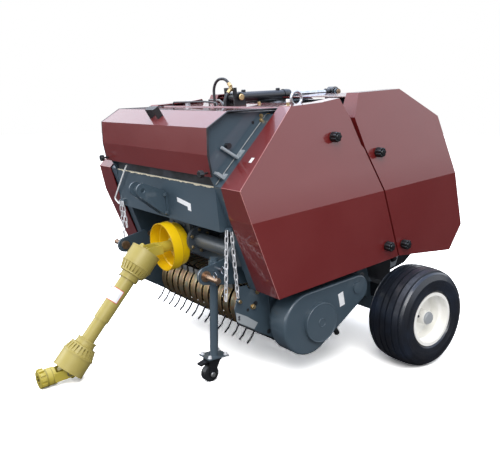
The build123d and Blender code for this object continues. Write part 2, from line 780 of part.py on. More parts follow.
# Lift cylinder: bracket on the top plate, barrel and rod
lift_angle = degrees(atan2(lift_eye[1] - lift_base[1], lift_eye[0] - lift_base[0]))
lift_length = hypot(lift_eye[1] - lift_base[1], lift_eye[0] - lift_base[0])
lift_plane = Plane(
    spot(0, *lift_base),
    x_dir=machine.y_dir.rotate(Axis((0, 0, 0), machine.x_dir), lift_angle),
    z_dir=machine.x_dir,
)
lift_axis = Axis(lift_plane.origin, lift_plane.x_dir)
ear_face_x = 28.0
ear_end_x = 36.0
port_y = (-410.0, -394.0)
port_z = (1162.0, 1176.0)
with BuildPart() as lift_bracket:
    for _, side in sides:
        with BuildSketch(side_plane(side * ear_face_x)) as ear:
            with Locations(lift_base):
                Circle(20)
            with Locations((lift_base[0], top_plate_z + 9)):
                Rectangle(60, 8)
            make_hull()
        extrude(ear.sketch, amount=side * (ear_end_x - ear_face_x))
        ear_range = (ear_face_x, ear_end_x) if side > 0 else (-ear_end_x, -ear_face_x)
        block(ear_range, port_y, (top_plate_z + top_plate_thickness, port_z[1]))
    block((-ear_end_x, ear_end_x), port_y, port_z)
    disc(lift_base, lift_pin_radius, -46, 46)
lift_bracket.part.label = "lift_bracket"
export_step(lift_bracket.part, "parts/lift_bracket.step")

with BuildPart() as lift_barrel:
    spin(((14, 0), (14, barrel_radius), (barrel_length, barrel_radius), (barrel_length, rod_radius + running_gap),
          (30, rod_radius + running_gap), (30, 0)), lift_plane, lift_axis)
    disc(lift_base, barrel_radius, -24, 24)
    disc(lift_base, lift_pin_radius + running_gap, -25, 25, Mode.SUBTRACT)
lift_barrel.part.label = "lift_barrel"
export_step(lift_barrel.part, "parts/lift_barrel.step")

eye_bore = 16.0
eye_radius = 22.0
eye_half = 20.0
with BuildPart() as lift_rod:
    spin(((150, 0), (150, rod_radius), (lift_length - 12, rod_radius), (lift_length - 12, 0)), lift_plane, lift_axis)
    disc(lift_eye, eye_radius, -eye_half, eye_half)
    disc(lift_eye, eye_bore, -eye_half - 1, eye_half + 1, Mode.SUBTRACT)
lift_rod.part.label = "lift_rod"
export_step(lift_rod.part, "parts/lift_rod.step")

# Hydraulic hoses from the port block on the bracket to the top plate, with their end fittings
hose_radius = 6.0
fitting_radius = 8.0
fitting_length = 18.0
port_middle = sum(port_y) / 2
hose_foot = top_plate_z + top_plate_thickness
fitting_foot = 6.0
high_port = Vector(4, port_middle, port_z[1] + fitting_foot)
low_port = Vector(18, port_y[0] - fitting_foot, (port_z[0] + port_z[1]) / 2)
high_way = Vector(-1, 0, 1).normalized()
low_way = Vector(0, -1, -1).normalized()
high_end = high_port + fitting_length * high_way
low_end = low_port + fitting_length * low_way
high_bend = high_end + 28 * high_way
low_bend = low_end + 27 * low_way
hose_routes = (
    (high_end, high_bend, Vector(-122, -406, high_bend.Z), Vector(-122, -406, hose_foot)),
    (low_end, low_bend, Vector(low_bend.X, low_bend.Y, hose_foot)),
)


def bend_radii(route):
    """The largest equal-fit radius at each corner of a route."""
    radii = []
    for before, corner, after in zip(route, route[1:], route[2:]):
        turn = radians((corner - before).get_angle(after - corner))
        room = min((corner - before).length, (after - corner).length)
        radii.append(min(10 * hose_radius, 0.9 * room / tan(turn / 2)))
    return radii


hose_length = 0.0
with BuildPart() as lift_hoses:
    for route in hose_routes:
        radii = bend_radii(route)
        print("hose radii", [round(radius, 1) for radius in radii])
        with BuildLine() as path:
            FilletPolyline(*(spot(*point) for point in route), radius=radii)
        with BuildSketch(Plane(path.line @ 0, z_dir=path.line % 0)) as hose_section:
            Circle(hose_radius)
        sweep(hose_section.sketch, path=path.line)
        hose_length += sum(edge.length for edge in path.edges())
lift_hoses.part.label = "lift_hoses"
export_step(lift_hoses.part, "parts/lift_hoses.step")
print("hose volume", lift_hoses.part.volume, "section times length", pi * hose_radius**2 * hose_length)

with BuildPart() as hose_fittings:
    for port, way, foot_dir in (
        (high_port, high_way, Vector(0, 0, -1)),
        (low_port, low_way, Vector(0, 1, 0)),
    ):
        centre = spot(*port)
        for direction, length in ((way, fitting_length), (foot_dir, fitting_foot)):
            with BuildSketch(Plane(centre, z_dir=spot(*(port + direction)) - centre)) as fitting:
                Circle(fitting_radius)
            extrude(fitting.sketch, amount=length)
hose_fittings.part.label = "hose_fittings"
export_step(hose_fittings.part, "parts/hose_fittings.step")

# Net rod on the front cross plate
rod_wire = 3.5
rod_front_y = beam_front_y - 14.0
rod_route = ((-268, 884), (-306, 848), (-436, 716), (-398, 697))
with BuildPart() as net_rod:
    with BuildLine() as rod_path:
        FilletPolyline(*(spot(x, rod_front_y, z) for x, z in rod_route), radius=[25.0, 8.0])
    with BuildSketch(Plane(rod_path.line @ 0, z_dir=rod_path.line % 0)) as rod_section:
        Circle(rod_wire)
    sweep(rod_section.sketch, path=rod_path.line)
    with BuildSketch(front_plane(beam_front_y)) as rod_clip:
        with Locations((-390, 702)):
            Rectangle(16, 16)
    extrude(rod_clip.sketch, amount=14)
net_rod.part.label = "net_rod"
export_step(net_rod.part, "parts/net_rod.step")

# Safety chains: links turned square to one another, hung from a hook on each side
link_pitch = 24.0
link_wire = 5.0
link_half = link_pitch / 2 + link_wire
link_side = 8.5
link_outer = (
    (link_half, 3.5), (link_half - 4, link_side), (4 - link_half, link_side), (-link_half, 3.5),
    (-link_half, -3.5), (4 - link_half, -link_side), (link_half - 4, -link_side), (link_half, -3.5),
)
link_inner = (
    (link_pitch / 2, 1.5), (link_pitch / 2 - 2, 3.5), (2 - link_pitch / 2, 3.5), (-link_pitch / 2, 1.5),
    (-link_pitch / 2, -1.5), (2 - link_pitch / 2, -3.5), (link_pitch / 2 - 2, -3.5), (link_pitch / 2, -1.5),
)


def strand(top, bottom):
    """Add a run of links from a level point towards another, every second link turned."""
    along = (spot(*bottom) - spot(*top)).normalized()
    count = round((spot(*bottom) - spot(*top)).length / link_pitch)
    for number in range(count):
        middle = spot(*top) + link_pitch * (number + 0.5) * along
        across = machine.x_dir if number % 2 else machine.x_dir.cross(along)
        with BuildSketch(Plane(middle - across * link_wire / 2, x_dir=along, z_dir=across)) as link:
            with BuildLine():
                Polyline(*link_outer, close=True)
            make_face()
            with BuildLine():
                Polyline(*link_inner, close=True)
            make_face(mode=Mode.SUBTRACT)
        extrude(link.sketch, amount=link_wire)


near_hook = (420.0, -757.0, 704.0)
far_hook = (-362.0, -793.0, 722.0)
with BuildPart() as safety_chains:
    strand((near_hook[0], near_hook[1] - 3, near_hook[2] - 8), (near_hook[0], -790, 436))
    strand((near_hook[0] + 14, near_hook[1] + 8, near_hook[2] - 8), (near_hook[0] + 3, -738, 438))
    strand((far_hook[0] - 10, far_hook[1] - 3, far_hook[2] - 8), (far_hook[0] - 18, -796, 545))
    strand((far_hook[0] + 8, far_hook[1] - 3, far_hook[2] - 8), (far_hook[0] + 24, -796, 592))
    block((near_hook[0] - 8, near_hook[0] + 22), (near_hook[1], near_hook[1] + 14), (near_hook[2] - 12, near_hook[2]))
    block((far_hook[0] - 16, far_hook[0] + 16), (far_hook[1], beam_front_y), (far_hook[2] - 12, far_hook[2]))
safety_chains.part.label = "safety_chains"
export_step(safety_chains.part, "parts/safety_chains.step")

# Jack: upright sleeve, leg and caster, square to the ground
sleeve_height = sleeve_high_z - sleeve_low_z
upward = (Align.CENTER, Align.CENTER, Align.MIN)
with BuildPart(Plane((leg_x, axle_y + leg_y, 0))) as jack_sleeve:
    with Locations((0, 0, sleeve_low_z)):
        Cylinder(sleeve_radius, sleeve_height, align=upward)
        Cylinder(leg_radius + 0.5, sleeve_height, align=upward, mode=Mode.SUBTRACT)
    with Locations((plate_inner_x - leg_x, 0, sleeve_low_z + 12)):
        Box(plate_inner_x - leg_x - sleeve_radius + 3, 24, 42, align=(Align.MAX, Align.CENTER, Align.MIN))
jack_sleeve.part.label = "jack_sleeve"
export_step(jack_sleeve.part, "parts/jack_sleeve.step")

with BuildPart(Plane((leg_x, axle_y + leg_y, caster_plate_z))) as jack_leg:
    Box(*caster_plate, align=upward)
    Cylinder(leg_radius, leg_top_z - caster_plate_z, align=upward)
jack_leg.part.label = "jack_leg"
export_step(jack_leg.part, "parts/jack_leg.step")

caster_axle_radius = 4.0
with BuildPart(Plane((leg_x, axle_y + leg_y, 0))) as caster_fork:
    with Locations((0, 0, caster_plate_z - 9)):
        Cylinder(26, 8.5, align=upward)
    with Locations((0, -8, caster_plate_z - 14)):
        Box(caster_width + 12, 62, 6, align=upward)
    for _, side in sides:
        cheek_plane = Plane(
            (leg_x + side * (caster_width / 2 + 3), axle_y + leg_y, 0), x_dir=(0, 1, 0), z_dir=(1, 0, 0)
        )
        with BuildSketch(cheek_plane) as cheek:
            with Locations((-caster_trail, caster_radius)):
                Circle(11)
            with Locations((-8, caster_plate_z - 11)):
                Rectangle(50, 6)
            make_hull()
        extrude(cheek.sketch, amount=side * 3)
    with BuildSketch(Plane((leg_x, axle_y + leg_y, 0), x_dir=(0, 1, 0), z_dir=(1, 0, 0))) as pedal:
        with BuildLine():
            Polyline((-30, 90), (-40, 88), (-70, 78), (-68, 72), (-38, 80), (-30, 83), close=True)
        make_face()
    extrude(pedal.sketch, amount=14, both=True)
    with BuildSketch(Plane((leg_x, axle_y + leg_y, 0), x_dir=(0, 1, 0), z_dir=(1, 0, 0))) as caster_pin:
        with Locations((-caster_trail, caster_radius)):
            Circle(caster_axle_radius)
    extrude(caster_pin.sketch, amount=caster_width / 2 + 10, both=True)
caster_fork.part.label = "caster_fork"
export_step(caster_fork.part, "parts/caster_fork.step")

with BuildPart() as caster_wheel:
    with BuildSketch(Plane((leg_x, axle_y + leg_y, 0), x_dir=(0, 1, 0), z_dir=(1, 0, 0))) as caster_section:
        with Locations((-caster_trail, caster_radius)):
            Circle(caster_radius)
            Circle(caster_axle_radius + running_gap, mode=Mode.SUBTRACT)
    extrude(caster_section.sketch, amount=caster_width / 2, both=True)
caster_wheel.part.label = "caster_wheel"
export_step(caster_wheel.part, "parts/caster_wheel.step")

# Drive shaft. Along the shaft x runs from the near joint to the far one; y lies in the machine's
# middle plane, square to the shaft.
near_joint = spot(0, joint_y, pto_z)
far_joint = Vector(0, axle_y + far_joint_parked[0], far_joint_parked[1])
shaft_dir = (far_joint - near_joint).normalized()
shaft_length = (far_joint - near_joint).length
shaft_plane = Plane(near_joint, x_dir=shaft_dir, z_dir=(1, 0, 0))
shaft_axis = Axis(near_joint, shaft_dir)
back_plane = Plane(far_joint, x_dir=-shaft_dir, z_dir=(1, 0, 0))
hub_start = bridge_start + 2
hub_end = 95.0
yoke_hub_radius = 24.0
bar_radius = 17.0
inner_tube_radius = 22.0
upper_tube_end = 325.0
lower_tube_start = 200.0


def cross(plane):
    """Add a universal joint's cross, its pins along the plane's z and y."""
    for direction in (plane.z_dir, plane.y_dir):
        with BuildSketch(Plane(plane.origin, z_dir=direction)) as pin:
            Circle(cross_radius)
        extrude(pin.sketch, amount=cross_reach, both=True)
    with BuildSketch(plane) as core:
        Rectangle(26, 26)
    extrude(core.sketch, amount=13, both=True)


def inner_yoke(plane, bar_profile):
    """Add a yoke whose ears hold the cross pin along the plane's y, and its bar along x."""
    ear_inner_offset = cross_reach - ear_thickness
    for _, side in sides:
        ear_plane = Plane(plane.origin + side * ear_inner_offset * plane.y_dir, x_dir=plane.x_dir,
                          z_dir=side * plane.y_dir)
        with BuildSketch(ear_plane) as ear:
            Circle(ear_radius)
            with Locations(((bridge_start + 2) / 2, 0)):
                Rectangle(bridge_start + 2, 2 * ear_radius)
            Circle(cross_radius + running_gap, mode=Mode.SUBTRACT)
        extrude(ear.sketch, amount=ear_thickness)
    with BuildSketch(Plane(plane.origin + bridge_start * plane.x_dir, z_dir=plane.x_dir,
                           x_dir=plane.y_dir)) as bridge:
        Rectangle(2 * cross_reach, 2 * ear_radius)
    extrude(bridge.sketch, amount=bridge_thickness)
    spin(bar_profile, plane, Axis(plane.origin, plane.x_dir))


with BuildPart() as near_cross:
    cross(shaft_plane)
near_cross.part.label = "near_cross"
export_step(near_cross.part, "parts/near_cross.step")

with BuildPart() as near_yoke:
    inner_yoke(shaft_plane, ((hub_start, 0), (hub_start, yoke_hub_radius), (hub_end, yoke_hub_radius),
                             (hub_end, bar_radius), (320, bar_radius), (320, 0)))
near_yoke.part.label = "near_yoke"
export_step(near_yoke.part, "parts/near_yoke.step")


def guard_profile(tube_outer, tube_end):
    """A shaft guard's half section: cup, slotted cone, collar and tube."""
    tube_inner = tube_outer - guard_sheet
    return (
        (0, cup_radius), (cup_length, cup_radius), (110, 40), (135, 38), (135, tube_outer), (tube_end, tube_outer),
        (tube_end, tube_inner), (hub_end, tube_inner), (hub_end, yoke_hub_radius), (89, yoke_hub_radius),
        (89, 50), (70, cup_radius - guard_sheet), (0, cup_radius - guard_sheet),
    )


with BuildPart() as upper_guard:
    spin(guard_profile(guard_radius, upper_tube_end), shaft_plane, shaft_axis)
upper_guard.part.label = "upper_guard"
export_step(upper_guard.part, "parts/upper_guard.step")

with BuildPart() as lower_guard:
    lower_radius = guard_radius - guard_sheet - 0.6
    spin(guard_profile(lower_radius, shaft_length - lower_tube_start), back_plane, Axis(far_joint, -shaft_dir))
lower_guard.part.label = "lower_guard"
export_step(lower_guard.part, "parts/lower_guard.step")

with BuildPart() as shaft_tube_yoke:
    inner_yoke(
        back_plane,
        ((hub_start, 0), (hub_start, yoke_hub_radius), (hub_end, yoke_hub_radius), (hub_end, inner_tube_radius),
         (320, inner_tube_radius), (320, bar_radius + 0.5), (hub_end, bar_radius + 0.5), (hub_end, 0)),
    )
shaft_tube_yoke.part.label = "shaft_tube_yoke"
export_step(shaft_tube_yoke.part, "parts/shaft_tube_yoke.step")

with BuildPart() as far_cross:
    cross(back_plane)
far_cross.part.label = "far_cross"
export_step(far_cross.part, "parts/far_cross.step")

yoke_dir = Vector(0, -cos(radians(far_yoke_droop)), -sin(radians(far_yoke_droop)))
yoke_plane = Plane(far_joint, x_dir=yoke_dir, z_dir=(1, 0, 0))
with BuildPart() as far_yoke:
    for _, side in sides:
        ear_inner_x = cross_reach - ear_thickness
        with BuildSketch(yoke_plane.offset(side * ear_inner_x)) as ear:
            Circle(ear_radius)
            with Locations(((bridge_start + 2) / 2, 0)):
                Rectangle(bridge_start + 2, 2 * ear_radius)
            Circle(cross_radius + running_gap, mode=Mode.SUBTRACT)
        extrude(ear.sketch, amount=side * ear_thickness)
    with BuildSketch(Plane(far_joint + bridge_start * yoke_dir, x_dir=(1, 0, 0), z_dir=yoke_dir)) as bridge:
        Rectangle(2 * cross_reach, 2 * ear_radius)
    extrude(bridge.sketch, amount=bridge_thickness)
    with BuildSketch(Plane(far_joint + (bridge_start + 2) * yoke_dir, x_dir=(1, 0, 0), z_dir=yoke_dir)) as hub:
        Circle(far_hub_radius)
    extrude(hub.sketch, amount=far_hub_length)
    with BuildSketch(Plane(far_joint + (bridge_start - 2) * yoke_dir, x_dir=(1, 0, 0), z_dir=yoke_dir)) as bore:
        Circle(spline_radius)
    extrude(bore.sketch, amount=far_hub_length + 10, mode=Mode.SUBTRACT)
far_yoke.part.label = "far_yoke"
export_step(far_yoke.part, "parts/far_yoke.step")
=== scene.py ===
"""Looks of a small round baler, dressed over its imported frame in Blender."""

import json
import logging
import math
import random
from dataclasses import dataclass, field
from enum import Enum
from typing import Sequence

import bmesh
import bpy
from mathutils import Matrix, Vector

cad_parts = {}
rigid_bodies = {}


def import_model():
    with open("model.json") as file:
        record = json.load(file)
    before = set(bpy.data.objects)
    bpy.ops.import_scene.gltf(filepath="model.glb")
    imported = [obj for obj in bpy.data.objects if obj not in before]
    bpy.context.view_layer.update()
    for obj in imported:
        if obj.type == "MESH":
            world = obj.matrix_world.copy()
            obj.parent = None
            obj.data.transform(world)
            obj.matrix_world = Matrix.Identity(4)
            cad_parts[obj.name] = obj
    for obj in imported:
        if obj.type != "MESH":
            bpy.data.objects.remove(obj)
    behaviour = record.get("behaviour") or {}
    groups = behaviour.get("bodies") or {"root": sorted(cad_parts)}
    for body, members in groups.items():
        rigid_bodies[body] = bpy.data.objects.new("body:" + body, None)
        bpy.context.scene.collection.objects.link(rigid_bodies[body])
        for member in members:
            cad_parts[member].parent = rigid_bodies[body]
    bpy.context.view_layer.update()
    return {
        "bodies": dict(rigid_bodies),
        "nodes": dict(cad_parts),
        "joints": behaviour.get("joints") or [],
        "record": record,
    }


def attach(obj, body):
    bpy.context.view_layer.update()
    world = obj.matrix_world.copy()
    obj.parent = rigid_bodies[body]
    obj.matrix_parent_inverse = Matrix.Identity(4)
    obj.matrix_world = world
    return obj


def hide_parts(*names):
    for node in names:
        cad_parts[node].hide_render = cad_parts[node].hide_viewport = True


log = logging.getLogger("baler")

Colour = tuple[float, float, float]
Point = Sequence[float]


class Body(Enum):
    """The moving bodies that pieces ride on."""

    CHASSIS = "chassis"
    TAILGATE = "tailgate"
    HOOD = "hood"
    BARREL = "lift_barrel"
    ROD = "lift_rod"
    REEL = "pickup_reel"
    WHEEL_LEFT = "wheel_left"
    WHEEL_RIGHT = "wheel_right"
    NEAR_CROSS = "near_cross"
    UPPER_SHAFT = "upper_shaft"
    LOWER_SHAFT = "lower_shaft"
    FAR_YOKE = "far_yoke"
    JACK_LEG = "jack_leg"
    CASTER_FORK = "caster_fork"
    CASTER_WHEEL = "caster_wheel"


@dataclass(frozen=True)
class Stance:
    """How the machine stands when parked: turned nose down about its wheel axle."""

    nose_down: float = math.radians(6.0)
    axle_y: float = 0.5173
    axle_z: float = 0.205

    def matrix(self) -> Matrix:
        """The move from the level machine, with y zero at the axle, to the parked one."""
        there = Matrix.Translation((0.0, self.axle_y, self.axle_z))
        turn = Matrix.Rotation(self.nose_down, 4, "X")
        return there @ turn @ Matrix.Translation((0.0, 0.0, -self.axle_z))

    def at(self, x: float, y: float, z: float) -> Vector:
        """Where the parked machine carries a point of the level one.

        Args:
            x: Metres to the left side.
            y: Metres behind the axle.
            z: Metres above the ground.

        Returns:
            The point in the row frame.
        """
        return self.matrix() @ Vector((x, y, z))


STANCE = Stance()


class Signal:
    """A number or colour on its way between two shader nodes, with Python's own operators."""

    def __init__(self, net: "Net", socket: bpy.types.NodeSocket) -> None:
        """Wrap one output socket of a net."""
        self.net = net
        self.socket = socket

    def _math(self, operation: str, other: "Signal | float", swapped: bool = False) -> "Signal":
        """Join this number and another with one Math node.

        Args:
            operation: The Math node's operation.
            other: The second value, or the first where swapped.
            swapped: True where this number comes second.

        Returns:
            The result's signal.
        """
        pair = (other, self) if swapped else (self, other)
        return self.net.add("ShaderNodeMath", {"operation": operation}, {0: pair[0], 1: pair[1]})

    def __add__(self, other: "Signal | float") -> "Signal":
        """Sum."""
        return self._math("ADD", other)

    __radd__ = __add__

    def __sub__(self, other: "Signal | float") -> "Signal":
        """Difference."""
        return self._math("SUBTRACT", other)

    def __rsub__(self, other: "Signal | float") -> "Signal":
        """Difference from a plain number."""
        return self._math("SUBTRACT", other, swapped=True)

    def __mul__(self, other: "Signal | float") -> "Signal":
        """Product."""
        return self._math("MULTIPLY", other)

    __rmul__ = __mul__

    def ramp(self, low: float, high: float) -> "Signal":
        """This number spread smoothly from 0 at low to 1 at high, and held outside them.

        Args:
            low: The value that becomes 0.
            high: The value that becomes 1.

        Returns:
            The spread number.
        """
        return self.net.add(
            "ShaderNodeMapRange",
            {"interpolation_type": "SMOOTHSTEP"},
            {"Value": self, "From Min": low, "From Max": high, "To Min": 0.0, "To Max": 1.0},
        )

    def wave(self) -> "Signal":
        """The sine of this number."""
        return self.net.add("ShaderNodeMath", {"operation": "SINE"}, {0: self})


class Net:
    """One material's nodes, added by kind, settings and sockets."""

    def __init__(self, name: str) -> None:
        """Start an empty node tree in a new material."""
        self.material = bpy.data.materials.new(name)
        self.material.use_nodes = True
        self.tree = self.material.node_tree
        self.tree.nodes.clear()
        self._place: Signal | None = None

    def node(self, kind: str, settings: dict, sockets: dict) -> bpy.types.Node:
        """Add a node.

        Args:
            kind: The node's type name.
            settings: Its attributes, set first; "stops" fills a colour ramp.
            sockets: Input names or numbers to plain values or signals.

        Returns:
            The new node.
        """
        made = self.tree.nodes.new(kind)
        for name, value in settings.items():
            if name == "stops":
                self._fill_ramp(made, value)
            else:
                setattr(made, name, value)
        for key, value in sockets.items():
            if isinstance(value, Signal):
                self.tree.links.new(value.socket, made.inputs[key])
            else:
                made.inputs[key].default_value = value
        return made

    def add(self, kind: str, settings: dict, sockets: dict, output: int | str = 0) -> Signal:
        """Add a node and return one of its outputs as a signal."""
        return Signal(self, self.node(kind, settings, sockets).outputs[output])

    @staticmethod
    def _fill_ramp(made: bpy.types.Node, stops: Sequence[tuple[float, Colour]]) -> None:
        """Give a colour ramp its stops, each a place and a colour."""
        elements = made.color_ramp.elements
        while len(elements) < len(stops):
            elements.new(1.0)
        for element, (place, colour) in zip(elements, stops):
            element.position = place
            element.color = (*colour, 1.0)

    def place(self) -> Signal:
        """The surface point, in metres of the piece's own space."""
        if self._place is None:
            self._place = self.add("ShaderNodeTexCoord", {}, {}, "Object")
        return self._place

    def axis(self, letter: str) -> Signal:
        """One coordinate of the surface point."""
        return self.add("ShaderNodeSeparateXYZ", {}, {0: self.place()}, letter)

    def stretched(self, scale: Point) -> Signal:
        """The surface point with each coordinate scaled, for grain that runs one way."""
        return self.add(
            "ShaderNodeMapping", {"vector_type": "POINT"}, {"Vector": self.place(), "Scale": tuple(scale)}
        )

    def noise(self, scale: float, detail: float = 3.0, where: Signal | None = None) -> Signal:
        """Soft random mottling between 0 and 1.

        Args:
            scale: How many patches to a metre, roughly.
            detail: How many finer layers ride on it.
            where: Coordinates to use in place of the surface point.

        Returns:
            The mottling.
        """
        return self.add(
            "ShaderNodeTexNoise",
            {},
            {"Vector": where or self.place(), "Scale": scale, "Detail": detail, "Roughness": 0.55},
            "Fac",
        )

    def mix(self, factor: "Signal | float", first: "Signal | Colour", second: "Signal | Colour") -> Signal:
        """Blend two colours.

        Args:
            factor: 0 for the first, 1 for the second.
            first: A colour or a signal.
            second: A colour or a signal.

        Returns:
            The blended colour.
        """
        pair = [c if isinstance(c, Signal) else (*c, 1.0) for c in (first, second)]
        return self.add(
            "ShaderNodeMix", {"data_type": "RGBA"}, {"Factor": factor, 6: pair[0], 7: pair[1]}, 2
        )


@dataclass
class Surface:
    """What changes over a finish: its colour, roughness, relief and metal."""

    colour: "Signal | Colour"
    roughness: "Signal | float"
    relief: "Signal | None" = None
    metal: "Signal | float" = 0.0


@dataclass(frozen=True)
class Finish:
    """A finish: one procedural material, made once."""

    title: str
    slot: str
    colour: Colour
    roughness: float = 0.4
    coat: float = 0.0
    coat_roughness: float = 0.05
    relief_depth: float = 0.0002
    shine: float = 0.5

    def surface(self, net: Net) -> Surface:
        """What varies over the surface; each kind of finish has its own."""
        return Surface(self.colour, self.roughness)

    def material(self) -> bpy.types.Material:
        """The finish as a Blender material."""
        title = f"look_{self.title}"
        found = bpy.data.materials.get(title)
        if found:
            return found
        net = Net(title)
        look = self.surface(net)
        sockets: dict = {
            "Base Color": look.colour if isinstance(look.colour, Signal) else (*look.colour, 1.0),
            "Roughness": look.roughness,
            "Metallic": look.metal,
            "Coat Weight": self.coat,
            "Coat Roughness": self.coat_roughness,
            "Specular IOR Level": self.shine,
        }
        if look.relief is not None:
            sockets["Normal"] = net.add(
                "ShaderNodeBump", {}, {"Strength": 1.0, "Distance": self.relief_depth, "Height": look.relief}
            )
        shader = net.add("ShaderNodeBsdfPrincipled", {}, sockets)
        net.node("ShaderNodeOutputMaterial", {}, {"Surface": shader})
        return net.material


@dataclass(frozen=True)
class GlossPaint(Finish):
    """Sprayed gloss paint on folded sheet: orange peel, a little dust low down, faint waves."""

    dust: Colour = (0.25, 0.21, 0.17)
    dust_share: float = 0.1
    haze: float = 0.06

    def surface(self, net: Net) -> Surface:
        """Paint whose tone and gloss drift a little, dustier towards the ground."""
        patches = net.noise(3.2, 4.0).ramp(0.35, 0.7)
        specks = net.noise(160.0, 2.0).ramp(0.62, 0.8)
        low = 1.0 - net.axis("Z").ramp(0.1, 0.75)
        dirt = (patches * 0.5 + specks * 0.35) * (low * 0.8 + 0.2) * self.dust_share
        faded = tuple(min(1.0, c * 1.25 + 0.004) for c in self.colour)
        tone = net.mix(patches * self.haze * 4.0, self.colour, faded)
        waves = net.noise(5.5, 1.0) * 1.0 + net.noise(620.0, 1.0) * 0.06
        return Surface(net.mix(dirt, tone, self.dust), dirt * 0.8 + patches * 0.05 + self.roughness, waves)


@dataclass(frozen=True)
class PlatedSteel(Finish):
    """Zinc or chrome plate: metal with cloudy tone and fine brushing."""

    tints: tuple[tuple[float, Colour], ...] = ()
    cloud: float = 30.0
    metal: float = 1.0

    def surface(self, net: Net) -> Surface:
        """Clouded metal; with tints, the yellow, pink and green drift of passivated zinc."""
        clouds = net.noise(self.cloud, 3.0)
        dull = tuple(c * 0.62 for c in self.colour)
        colour = net.mix(clouds.ramp(0.3, 0.75), dull, self.colour)
        if self.tints:
            drift = net.noise(self.cloud * 0.7, 2.0, net.stretched((1.0, 1.6, 1.6)))
            colour = net.add("ShaderNodeValToRGB", {"stops": self.tints}, {"Fac": drift}, "Color")
        scratches = net.noise(900.0, 2.0, net.stretched((0.2, 1.0, 1.0)))
        return Surface(colour, clouds * 0.22 + self.roughness, scratches, self.metal)


@dataclass(frozen=True)
class BandSteel(PlatedSteel):
    """Plated bands set side by side, with painted shade along the middle of each and a painted highlight at
    its edges.
    """

    pitch: float = 0.0517

    def surface(self, net: Net) -> Surface:
        """Plated metal with painted shade across each band."""
        look = super().surface(net)
        middle = (net.axis("X") * (2 * math.pi / self.pitch) + math.pi / 2).wave().ramp(-0.75, 0.75)
        grime = net.noise(45.0, 3.0).ramp(0.35, 0.7)
        # Painted shade and highlight: each band's middle is mixed towards dark brown and its edges are left
        # bright; the grime noise adds real dirt.
        marked = net.mix((1.0 - middle) * 0.7 + grime * 0.12, look.colour, (0.15, 0.118, 0.072))
        return Surface(marked, look.roughness + (1.0 - middle) * 0.15, look.relief, look.metal)


@dataclass(frozen=True)
class MouldedPlastic(Finish):
    """Moulded plastic: fine grain, scuffs that go pale, and grime in patches."""

    scuff: Colour = (0.6, 0.58, 0.5)
    scuff_share: float = 0.12
    grain: float = 380.0

    def surface(self, net: Net) -> Surface:
        """Plastic with pale scuffs along its length and a fine grain."""
        patches = net.noise(14.0, 4.0).ramp(0.45, 0.75)
        streaks = net.noise(70.0, 3.0, net.stretched((1.0, 0.35, 0.35))).ramp(0.55, 0.8)
        marked = (patches * 0.6 + streaks * 0.5) * self.scuff_share
        shade = tuple(c * 0.8 for c in self.colour)
        tone = net.mix(net.noise(6.0, 2.0), shade, self.colour)
        grain = net.noise(self.grain, 2.0)
        return Surface(net.mix(marked, tone, self.scuff), marked * 0.9 + self.roughness, grain)


@dataclass(frozen=True)
class Rubber(Finish):
    """Black rubber: matt, with a bluish bloom and brown dust."""

    bloom: Colour = (0.05, 0.055, 0.07)
    dust: Colour = (0.14, 0.12, 0.1)
    dust_share: float = 0.25

    def surface(self, net: Net) -> Surface:
        """Rubber whose bloom and dust come in soft patches."""
        bloom = net.noise(9.0, 3.0).ramp(0.4, 0.75)
        dust = net.noise(26.0, 4.0).ramp(0.5, 0.8) * self.dust_share
        tone = net.mix(bloom, self.colour, self.bloom)
        return Surface(net.mix(dust, tone, self.dust), dust * 0.5 + self.roughness, net.noise(320.0, 2.0))


@dataclass(frozen=True)
class Paper(Finish):
    """A thin flat layer of one colour that has aged: a blank label, or a strip of old paint."""

    def surface(self, net: Net) -> Surface:
        """A colour that has darkened in soft patches."""
        aged = tuple(c * 0.86 for c in self.colour)
        return Surface(net.mix(net.noise(60.0, 3.0).ramp(0.4, 0.8), self.colour, aged), self.roughness)


MAROON = GlossPaint("maroon_paint", "maroon", (0.135, 0.0095, 0.0095), 0.4, 1.0, 0.035, 0.0028,
                    dust_share=0.04)
SLATE = GlossPaint("slate_paint", "blue_grey", (0.043, 0.070, 0.094), 0.42, 0.75, 0.05, 0.0008,
                   dust_share=0.08)
CASTING = GlossPaint("casting_paint", "gearbox_grey", (0.06, 0.074, 0.088), 0.42, 0.15, 0.2, 0.0008)
CREAM = GlossPaint("cream_paint", "rim_cream", (0.95, 0.94, 0.89), 0.35, 0.3, 0.1, 0.0004, dust_share=0.06)
OLIVE = GlossPaint("olive_paint", "yoke_olive", (0.44, 0.36, 0.045), 0.38, 0.2, 0.15, 0.0008, dust_share=0.3)
CYLINDER_BLACK = GlossPaint("cylinder_black", "black_paint", (0.003, 0.004, 0.007), 0.4, 0.5, 0.04, 0.0003,
                            dust_share=0.02)
CONE_YELLOW = MouldedPlastic("cone_yellow", "guard_yellow", (0.98, 0.64, 0.003), 0.36, 0.1, 0.1, 0.0002,
                             scuff=(0.95, 0.78, 0.2), scuff_share=0.04)
GUARD_KHAKI = MouldedPlastic("guard_khaki", "guard_khaki", (0.41, 0.335, 0.085), 0.42, 0.05, 0.2, 0.0003,
                             scuff=(0.66, 0.58, 0.3), scuff_share=0.12)
KNOB_BLACK = MouldedPlastic("knob_black", "black_plastic", (0.006, 0.007, 0.008), 0.36, 0.1, 0.1, 0.0003,
                            scuff=(0.12, 0.12, 0.12))
CASTER_BLACK = MouldedPlastic("caster_black", "black_plastic", (0.018, 0.019, 0.021), 0.35, 0.1, 0.1, 0.0002,
                              scuff=(0.2, 0.2, 0.2))
ZINC = PlatedSteel("bright_zinc", "zinc", (0.62, 0.63, 0.66), 0.28, 0.0, 0.05, 0.00005)
